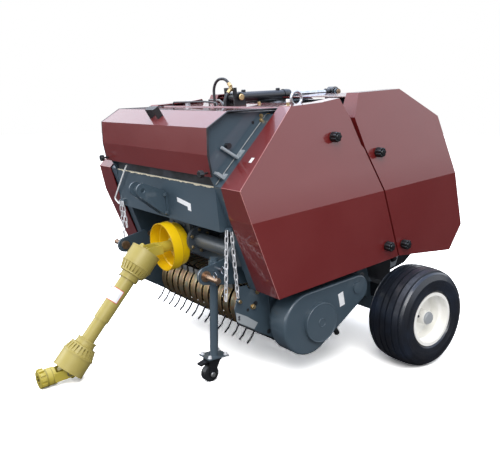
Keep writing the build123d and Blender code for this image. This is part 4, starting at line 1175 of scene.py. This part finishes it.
@dataclass
class FrameTrim:
    """What shows on the side frames between hood and covers, and low by the wheels."""

    skin: float = 0.406
    bracket: tuple[Point, ...] = (
        (-0.672, 0.966), (-0.658, 0.972), (-0.650, 0.955), (-0.700, 0.894), (-0.760, 0.882), (-0.786, 0.904),
        (-0.779, 0.912), (-0.757, 0.894), (-0.707, 0.906),
    )
    bearing: tuple[Point, ...] = (
        (0.092, 0.440), (0.195, 0.440), (0.188, 0.385), (0.158, 0.330), (0.112, 0.322), (0.092, 0.360),
    )
    corner: tuple[Point, ...] = (
        (0.100, 0.420), (0.300, 0.425), (0.286, 0.362), (0.224, 0.324), (0.130, 0.312),
    )
    heel: tuple[Point, ...] = (
        (-0.045, 0.457), (0.085, 0.441), (0.112, 0.372), (0.110, 0.290), (0.036, 0.238), (-0.028, 0.325),
    )

    def build(self) -> None:
        """Add bolts, brackets, struts and bearings."""
        bolts, bars, struts, fold = Bench(), Bench(), Bench(), Bench()
        for side in SIDES:
            for y, z in ((-0.558, 1.082), (-0.523, 1.081), (-0.559, 1.066), (-0.526, 1.060)):
                bolts.bolt((side * self.skin, y, z), (side, 0, 0), 0.013, 0.006, 0.008)
            bars.prism(self.bracket, side * 0.4075, side * 0.4300)
            bend = ((-0.752, 0.994), (-0.722, 0.972), (-0.676, 0.940))
            bars.pipe([(side * 0.421, y, z) for y, z in bend], 0.0058, 10)
            struts.rod((side * 0.418, -0.583, 1.019), (side * 0.418, -0.645, 0.964), 0.007, 16)
            struts.rod((side * self.skin, -0.720, 0.995), (side * 0.424, -0.720, 0.995), 0.010, 20)
            struts.rod((side * 0.405, -0.597, 1.062), (side * 0.407, -0.597, 1.062), 0.006, 16)
            # A pale line along the flange's fold: painted highlight.
            fold.pipe([(side * 0.4075, -0.780, 0.8655), (side * 0.4075, -0.531, 1.0885)], 0.0016, 8)
        bolts.piece("frame_bolts", Body.CHASSIS, BRASS)
        bars.piece("frame_brackets", Body.CHASSIS, WORN_GREY)
        struts.piece("frame_struts", Body.CHASSIS, CYLINDER_BLACK)
        fold.piece("flange_fold_highlight", Body.CHASSIS, PALE_STEEL)
        self._low()

    def _low(self) -> None:
        """Add the plates, brackets and bolts that show behind and over the wheels."""
        plate, corner, heel, black, brass = (Bench() for _ in range(5))
        for side in SIDES:
            way = (side, 0, 0)
            plate.prism(self.bearing, side * 0.3895, side * 0.3965)
            corner.prism(self.corner, side * 0.3845, side * 0.3898)
            heel.prism(self.heel, side * 0.4015, side * 0.4065)
            heel.block((side * 0.404, -0.020, 0.236), (side * 0.452, 0.024, 0.300))
            black.bolt((side * 0.3965, 0.140, 0.366), way, 0.026, 0.012, 0.017)
            boss = ((0, 0), (0.016, 0), (0.016, 0.006), (0.010, 0.008), (0, 0.008))
            brass.lathe(boss, (side * self.skin, -0.065, 0.374), way, 28)
            brass.bolt((side * 0.470, 0.0, 0.222), UP, 0.016, 0.007, 0.010)
        plate.piece("bearing_plates", Body.TAILGATE, WORN_GREY, bevel=0.0008)
        corner.piece("tailgate_corners", Body.TAILGATE, CYLINDER_BLACK)
        heel.piece("axle_brackets", Body.CHASSIS, CYLINDER_BLACK)
        black.piece("bearing_bolts", Body.TAILGATE, CYLINDER_BLACK)
        brass.piece("low_bolts", Body.CHASSIS, BRASS)


@dataclass
class HoodTrim:
    """A black line along the hood's side edges, and the lobes of its two knobs."""

    edge: float = 0.4315
    outline: tuple[Point, ...] = ((-0.500, 1.1022), (-0.7205, 1.1142), (-0.8100, 1.0676), (-0.8168, 0.9757),
                                  (-0.8080, 0.9000))
    knob: Point = (0.411, -0.8335, 0.912)
    knob_spread: float = 0.0095
    lobes: int = 7

    def build(self) -> None:
        """Add the black edge line and the knobs' lobes."""
        # A thin black pipe along each side edge of the hood.
        rubber = Bench()
        for side in SIDES:
            rubber.pipe([(side * self.edge, y, z) for y, z in self.outline], 0.0036, 10)
        rubber.piece("hood_edge_line", Body.HOOD, SOFT_RUBBER)
        knobs = Bench()
        lobe = ((0, 0), (0.0048, 0), (0.0052, 0.003), (0.0048, 0.0135), (0.003, 0.0155), (0, 0.0155))
        x, y, z = self.knob
        spread = self.knob_spread
        for side in SIDES:
            for turn in turns_of(self.lobes):
                seat = (side * x + spread * math.cos(turn), y, z + spread * math.sin(turn))
                knobs.lathe(lobe, seat, FRONT, 14)
        knobs.piece("hood_knob_grips", Body.HOOD, KNOB_BLACK)


@dataclass
class LiftTrim:
    """The lift cylinder's gland, ports, pins and eye, and the small lines on the roof."""

    base: Point = (0.0, -0.380, 1.135)
    eye: Point = (0.0, 0.190, 1.110)
    fitting: Point = (0.437, -0.452, 1.099)

    def build(self) -> None:
        """Add what rides on the bracket, the barrel, the rod and the tailgate."""
        way = (Vector(self.eye) - Vector(self.base)).normalized()
        self._barrel(way)
        brass = Bench()
        for side in SIDES:
            head = ((0, 0), (0.0135, 0), (0.0135, 0.003), (0.011, 0.005), (0, 0.005))
            brass.lathe(head, (side * 0.046, *self.base[1:]), (side, 0, 0), 28)
        for side in (1, -1):
            brass.bolt((side * 0.060, -0.300, 1.100), UP, 0.014, 0.006, 0.009)
        brass.piece("bracket_pins", Body.CHASSIS, BRASS)
        sleeve = Bench()
        ring = ((0.0165, -0.0198), (0.0232, -0.0198), (0.0232, 0.0198), (0.0165, 0.0198))
        sleeve.lathe(ring, self.eye, LEFT, 40, closed=True)
        neck = ((0.0100, 0.522), (0.0155, 0.524), (0.0155, 0.545), (0.0120, 0.552))
        sleeve.lathe(neck, self.base, way, 32, closed=True)
        sleeve.piece("rod_eye_sleeve", Body.ROD, CYLINDER_BLACK)
        caps = Bench()
        for side in SIDES:
            cap = ((0, 0), (0.0125, 0), (0.0125, 0.003), (0, 0.004))
            caps.lathe(cap, (side * 0.040, *self.eye[1:]), (side, 0, 0), 24)
        caps.piece("lug_pin_caps", Body.TAILGATE, BRONZE)
        self._lines()

    def _barrel(self, way: Vector) -> None:
        """Add the barrel's gland, its foot collar and its two ports."""
        barrel = Bench()
        gland = ((0.0205, 0.262), (0.0240, 0.262), (0.0240, 0.286), (0.0225, 0.291), (0.0225, 0.2975),
                 (0.0105, 0.2975), (0.0105, 0.290))
        collar = ((0.0205, 0.016), (0.0225, 0.018), (0.0225, 0.034), (0.0205, 0.036))
        for profile in (gland, collar):
            barrel.lathe(profile, self.base, way, 40, closed=True)
        lift = way.cross(Vector(LEFT)).normalized()
        lift = lift if lift.z > 0 else -lift
        port = ((0, 0), (0.0095, 0), (0.0095, 0.009), (0.0070, 0.011), (0, 0.011))
        for along in (0.045, 0.235):
            barrel.lathe(port, Vector(self.base) + way * along + lift * 0.019, lift, 24)
        barrel.piece("barrel_collars", Body.BARREL, CYLINDER_BLACK)

    def _lines(self) -> None:
        """Lay the thin rods behind the hood, their bracket and the capped fitting beside it."""
        rods = Bench()
        rods.pipe(((-0.400, -0.458, 1.1085), (-0.390, -0.458, 1.120), (-0.120, -0.458, 1.1235),
                   (-0.030, -0.458, 1.118), (-0.024, -0.458, 1.1085)), 0.0042, 10)
        rods.pipe(((-0.330, -0.300, 1.100), (-0.330, -0.300, 1.116), (-0.200, -0.330, 1.118),
                   (-0.090, -0.392, 1.116), (-0.060, -0.400, 1.101)), 0.0045, 10)
        rods.piece("top_lines", Body.CHASSIS, CYLINDER_BLACK)
        x, y, z = self.fitting
        body = ((0, 0), (0.009, 0), (0.009, 0.012), (0.006, 0.014), (0.006, 0.022), (0, 0.022))
        cap = ((0, 0), (0.0075, 0), (0.0075, 0.009), (0.0055, 0.011), (0, 0.011))
        for name, profile, foot, finish in (
            ("capped_fitting", body, z, BRASS), ("fitting_cap", cap, z + 0.022, ROD_WHITE),
        ):
            bench = Bench()
            bench.lathe(profile, (x, y, foot), UP, 24)
            bench.piece(name, Body.CHASSIS, finish)
        light = Bench()
        light.block((-0.300, -0.470, 1.0995), (-0.262, -0.446, 1.103))
        light.block((-0.300, -0.452, 1.0995), (-0.262, -0.446, 1.126))
        light.piece("line_bracket", Body.CHASSIS, ZINC, bevel=0.0006)


@dataclass
class WheelTrim:
    """Sidewall rings, weld beads, hub cap and valve of one wheel."""

    side: int
    body: Body
    track: float = 0.637
    height: float = 0.205

    def build(self) -> None:
        """Add the wheel's small parts."""
        name = self.body.value
        centre = (self.side * self.track, 0.0, self.height)
        way = (self.side, 0, 0)
        cap = Bench()
        cap.lathe(((0, 0.0695), (0.0200, 0.0695), (0.0235, 0.0640), (0.0262, 0.0640), (0.0262, 0.0675),
                   (0.0225, 0.0735), (0, 0.0745)), centre, way, 48)
        cap.piece(f"{name}_cap", self.body, CAP_GREY)
        valve = Bench()
        valve.lathe(((0, 0), (0.0070, 0), (0.0055, 0.028), (0.0052, 0.046), (0.0045, 0.048), (0, 0.048)),
                    (self.side * (self.track + 0.006), -0.042, self.height + 0.016), way, 20)
        valve.piece(f"{name}_valve", self.body, SOFT_RUBBER)
        rings = Bench()
        for radius, x, size in ((0.158, 0.0946, 0.0016), (0.142, 0.0938, 0.0011), (0.128, 0.0918, 0.0014)):
            ridge = ((radius - size, x - 0.002), (radius, x + 0.0004), (radius + size, x - 0.002))
            rings.lathe(ridge, centre, way, 96, closed=True)
        rings.piece(f"{name}_rings", self.body, TYRE)
        weld = Bench()
        hub_bead = ((0.0298, 0.004), (0.0345, 0.0045), (0.0335, 0.0075), (0.0298, 0.0085))
        weld.lathe(hub_bead, centre, way, 48, closed=True)
        rim_bead = ((0.0885, 0.0045), (0.0905, 0.0060), (0.0905, 0.0120), (0.0885, 0.0140))
        weld.lathe(rim_bead, centre, way, 72, closed=True)
        weld.piece(f"{name}_welds", self.body, CREAM)


@dataclass
class CaseTrim:
    """The chain case's rings, plug and label, the drive's flange bolts and the gearbox's covers."""

    case: Point = (0.5600, -0.450, 0.283)
    drive: Point = (-0.690, 0.590)

    def build(self) -> None:
        """Add the trim of the case and of the drive line."""
        ring = Bench()
        half_round = [math.pi * i / 6 for i in range(7)]
        beads = ((0.0165, 0.0016, 0.0), (0.0762, 0.0030, -0.0018), (0.0800, 0.0030, -0.0200))
        for radius, size, depth in beads:
            bead = [(radius - size * math.cos(t), depth + size * math.sin(t)) for t in half_round]
            ring.lathe(bead, self.case, LEFT, 96, closed=True)
        ring.piece("case_rings", Body.CHASSIS, SLATE)
        plug = Bench()
        plug.rod((0.532, -0.364, 0.228), (0.532, -0.349, 0.198), 0.0105, 20)
        plug.piece("case_plug", Body.CHASSIS, SOFT_RUBBER)
        label = Bench()
        label.prism(((-0.347, 0.366), (-0.320, 0.371), (-0.313, 0.316), (-0.339, 0.311)), 0.5449, 0.5457)
        label.piece("case_label", Body.CHASSIS, LABEL_WHITE, slot="blue_grey")
        self._drive_line()

    def _drive_line(self) -> None:
        """Add the bolts of the drive's flanges, and the gearbox's covers, bolts and oil plug."""
        y, z = self.drive
        screws = Bench()
        for x, way, count, first, radius, across, height in (
            (0.112, 1, 6, 30, 0.043, 0.014, 0.007), (-0.110, -1, 6, 30, 0.043, 0.014, 0.007),
            (0.388, -1, 4, 45, 0.038, 0.013, 0.006),
        ):
            for turn in turns_of(count, first):
                seat = (x, y + radius * math.cos(turn), z + radius * math.sin(turn))
                screws.bolt(seat, (way, 0, 0), across, height)
        screws.piece("drive_bolts", Body.CHASSIS, BRASS)
        box = Bench()
        for turn in turns_of(8):
            seat = (0.066 * math.cos(turn), -0.715, 0.607 + 0.058 * math.sin(turn))
            box.bolt(seat, FRONT, 0.013, 0.006)
        for side in SIDES:
            box.block((side * 0.082, -0.705, 0.556), (side * 0.086, -0.594, 0.668))
        box.piece("gearbox_covers", Body.CHASSIS, CASTING, bevel=0.0012)
        plug = Bench()
        head = ((0, 0), (0.012, 0), (0.012, 0.006), (0.007, 0.012), (0, 0.012))
        plug.lathe(head, (0.0, -0.640, 0.680), UP, 6)
        plug.piece("oil_plug", Body.CHASSIS, BRASS)


@dataclass
class JackTrim:
    """The jack's plate bolts, locking pin and the caster's hub."""

    x: float = 0.310
    y: float = -0.2727
    caster_back: float = 0.020
    pin_height: float = 0.452

    def build(self) -> None:
        """Add the jack's small parts, drawn upright in the row frame."""
        leg = Bench()
        for dx in (-0.027, 0.027):
            for dy in (-0.036, 0.036):
                leg.bolt((self.x + dx, self.y + dy, 0.103), UP, 0.013, 0.008, 0.0085)
        leg.piece("jack_bolts", Body.JACK_LEG, CHAIN_ZINC, level=False)
        hub = Bench()
        nut = ((0, 0), (0.0105, 0), (0.0105, 0.003), (0.0075, 0.0055), (0, 0.0055))
        for side in SIDES:
            hub.lathe(nut, (self.x + side * 0.023, self.y - self.caster_back, 0.032), (side, 0, 0), 28)
        hub.piece("caster_hub", Body.CASTER_FORK, PALE_STEEL, level=False)
        pin = Bench()
        x, y, z = self.x, self.y, self.pin_height
        pin.rod((x + 0.018, y, z), (x + 0.052, y, z), 0.0055, 16)
        loop = [(x + 0.050 + 0.012 * (1 - math.cos(t)), y, z + 0.014 * math.sin(t)) for t in turns_of(20)]
        pin.pipe(loop, 0.0016, 8, closed=True)
        pin.piece("jack_pin", Body.CHASSIS, ZINC, level=False)


class Trim:
    """Everything that dresses the machine."""

    def build(self) -> None:
        """Build each group of small parts."""
        for group in (
            ShaftGuards(), PickupTrim(), HitchTrim(), ChainTrim(), FarYokeTrim(), CoverTrim(), FrameTrim(),
            HoodTrim(), LiftTrim(), WheelTrim(1, Body.WHEEL_LEFT), WheelTrim(-1, Body.WHEEL_RIGHT),
            CaseTrim(), JackTrim(),
        ):
            group.build()


@dataclass
class Wardrobe:
    """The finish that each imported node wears."""

    nodes: dict[str, Finish] = field(default_factory=lambda: {
        "side_frame_left": SLATE, "side_frame_right": SLATE, "cross_plate": SLATE, "upper_hitch": SLATE,
        "lower_hitch": SLATE, "hitch_pins": BRONZE, "lift_hoses": SOFT_RUBBER, "hose_fittings": BRASS,
        "net_rod": ROD_WHITE, "safety_chains": CHAIN_ZINC, "tailgate_roof": MAROON, "gearbox": CASTING,
        "input_yoke": OLIVE,
        "guard_cone": CONE_YELLOW, "axle": SLATE, "cover_front_left": MAROON, "cover_front_right": MAROON,
        "cover_rear_left": MAROON, "cover_rear_right": MAROON, "front_knobs": KNOB_BLACK,
        "rear_knobs": KNOB_BLACK, "twine_box": SLATE, "top_plate": MAROON, "lift_bracket": CYLINDER_BLACK,
        "lifting_ring": ZINC, "pickup_plates": SLATE, "pickup_strips": GOLD_ZINC, "chain_case": SLATE,
        "jack_sleeve": SLATE, "tailgate_frame": SLATE, "hood": MAROON, "hood_fittings": KNOB_BLACK,
        "lift_barrel": CYLINDER_BLACK, "lift_rod": CHROME, "pickup_reel": TINE_STEEL,
        "tyre_left": TYRE, "tyre_right": TYRE, "rim_left": CREAM, "rim_right": CREAM,
        "near_cross": OLIVE, "near_yoke": OLIVE, "upper_guard": GUARD_KHAKI, "lower_guard": GUARD_KHAKI,
        "shaft_tube_yoke": OLIVE, "far_cross": OLIVE, "far_yoke": OLIVE, "jack_leg": SLATE,
        "caster_fork": CYLINDER_BLACK, "caster_wheel": CASTER_BLACK,
    })

    def dress(self, frame: dict) -> None:
        """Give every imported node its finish.
        """
        for name, node in frame["nodes"].items():
            finish = ROLLER if name.startswith("roller_") else self.nodes.get(name, SLATE)
            node.data.materials.clear()
            node.data.materials.append(finish.material())
            log.info("dressed %s in %s", name, finish.title)


@dataclass
class Studio:
    """A plain pale floor, soft light and the camera at the photograph's angle."""

    eye: Point = (2.302, -1.583, 1.056)
    facing: float = 0.932
    tilt: float = 0.183
    roll: float = 0.008
    lens: float = 46.53
    sky_strength: float = 1.8
    sky: tuple[tuple[float, Colour], ...] = (
        (0.01, (0.02, 0.02, 0.025)), (0.06, (0.15, 0.16, 0.18)), (0.16, (0.80, 0.82, 0.86)),
        (0.40, (0.86, 0.92, 1.0)), (0.70, (0.62, 0.74, 1.0)), (0.98, (0.50, 0.64, 1.0)),
    )

    def camera(self) -> None:
        """Set the camera where the photograph was taken from."""
        data = bpy.data.cameras.new("photo_camera")
        data.lens = self.lens
        data.sensor_width = 36.0
        data.clip_end = 60.0
        made = bpy.data.objects.new("photo_camera", data)
        bpy.context.scene.collection.objects.link(made)
        made.matrix_world = (
            Matrix.Translation(self.eye)
            @ Matrix.Rotation(self.facing, 4, "Z")
            @ Matrix.Rotation(math.pi / 2 - self.tilt, 4, "X")
            @ Matrix.Rotation(self.roll, 4, "Z")
        )
        bpy.context.scene.camera = made

    def floor(self) -> None:
        """Lay a wide pale floor that stays white to the camera and keeps the shadow."""
        bpy.ops.mesh.primitive_plane_add(size=40.0, location=(0.0, 0.0, 0.0))
        made = bpy.context.active_object
        made.name = "studio_floor"
        net = Net("studio_floor")
        path = net.node("ShaderNodeLightPath", {}, {})
        shown = net.add("ShaderNodeBsdfDiffuse", {}, {"Color": (2.1, 2.1, 2.1, 1.0)})
        lit = net.add("ShaderNodeBsdfDiffuse", {}, {"Color": (0.30, 0.30, 0.31, 1.0)})
        dark = net.add("ShaderNodeBsdfDiffuse", {}, {"Color": (0.05, 0.05, 0.055, 1.0)})
        both = net.add(
            "ShaderNodeMixShader", {}, {0: Signal(net, path.outputs["Is Glossy Ray"]), 1: lit, 2: dark}
        )
        both = net.add(
            "ShaderNodeMixShader", {}, {0: Signal(net, path.outputs["Is Camera Ray"]), 1: both, 2: shown}
        )
        net.node("ShaderNodeOutputMaterial", {}, {"Surface": both})
        made.data.materials.append(net.material)

    def lamp(self, name: str, place: Point, target: Point, size: Point, watts: float, tint: Colour) -> None:
        """Hang a soft rectangular lamp.

        Args:
            name: The lamp's name.
            place: Where it hangs.
            target: What it faces.
            size: Its width and height.
            watts: Its power.
            tint: Its colour.
        """
        data = bpy.data.lights.new(name, "AREA")
        data.shape = "RECTANGLE"
        data.size, data.size_y = size
        data.energy = watts
        data.color = tint
        made = bpy.data.objects.new(name, data)
        bpy.context.scene.collection.objects.link(made)
        made.location = place
        made.rotation_euler = (Vector(target) - Vector(place)).to_track_quat("-Z", "Y").to_euler()

    def world(self) -> None:
        """Fill the room with even pale light, with a bright sky above a dark horizon in reflections."""
        world = bpy.data.worlds.new("studio")
        bpy.context.scene.world = world
        world.use_nodes = True
        nodes = world.node_tree.nodes
        nodes.clear()
        link = world.node_tree.links.new
        path = nodes.new("ShaderNodeLightPath")
        even, mirrored, shown = (nodes.new("ShaderNodeBackground") for _ in range(3))
        even.inputs["Color"].default_value = (0.94, 0.96, 1.0, 1.0)
        even.inputs["Strength"].default_value = 0.85
        shown.inputs["Color"].default_value = (1.0, 1.0, 1.0, 1.0)
        where = nodes.new("ShaderNodeTexCoord")
        split = nodes.new("ShaderNodeSeparateXYZ")
        shades = nodes.new("ShaderNodeValToRGB")
        elements = shades.color_ramp.elements
        for place, shade in self.sky:
            elements.new(place).color = (*shade, 1.0)
        elements.remove(elements[0])
        elements.remove(elements[-1])
        mirrored.inputs["Strength"].default_value = self.sky_strength
        link(where.outputs["Generated"], split.inputs[0])
        link(split.outputs["Z"], shades.inputs[0])
        link(shades.outputs["Color"], mirrored.inputs["Color"])
        first, second = nodes.new("ShaderNodeMixShader"), nodes.new("ShaderNodeMixShader")
        output = nodes.new("ShaderNodeOutputWorld")
        link(path.outputs["Is Glossy Ray"], first.inputs[0])
        link(even.outputs[0], first.inputs[1])
        link(mirrored.outputs[0], first.inputs[2])
        link(path.outputs["Is Camera Ray"], second.inputs[0])
        link(first.outputs[0], second.inputs[1])
        link(shown.outputs[0], second.inputs[2])
        link(second.outputs[0], output.inputs["Surface"])

    def build(self) -> None:
        """Set the whole studio up."""
        bpy.context.scene.view_settings.view_transform = "Standard"
        self.camera()
        self.floor()
        self.world()
        middle = (0.0, 0.0, 0.6)
        self.lamp("key", (3.2, -2.2, 3.4), middle, (2.4, 2.4), 150.0, (1.0, 0.98, 0.95))
        self.lamp("sky", (-0.6, -0.2, 4.2), middle, (4.5, 4.5), 150.0, (0.9, 0.93, 1.0))
        self.lamp("front", (-2.4, -3.6, 1.6), middle, (2.0, 1.6), 60.0, (0.95, 0.97, 1.0))


def main() -> None:
    """Load the frame, dress it, add the pieces and set the studio."""
    logging.basicConfig(level=logging.INFO, format="%(message)s")
    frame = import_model()
    Wardrobe().dress(frame)
    Trim().build()
    Studio().build()


if __name__ == "__main__":
    main()
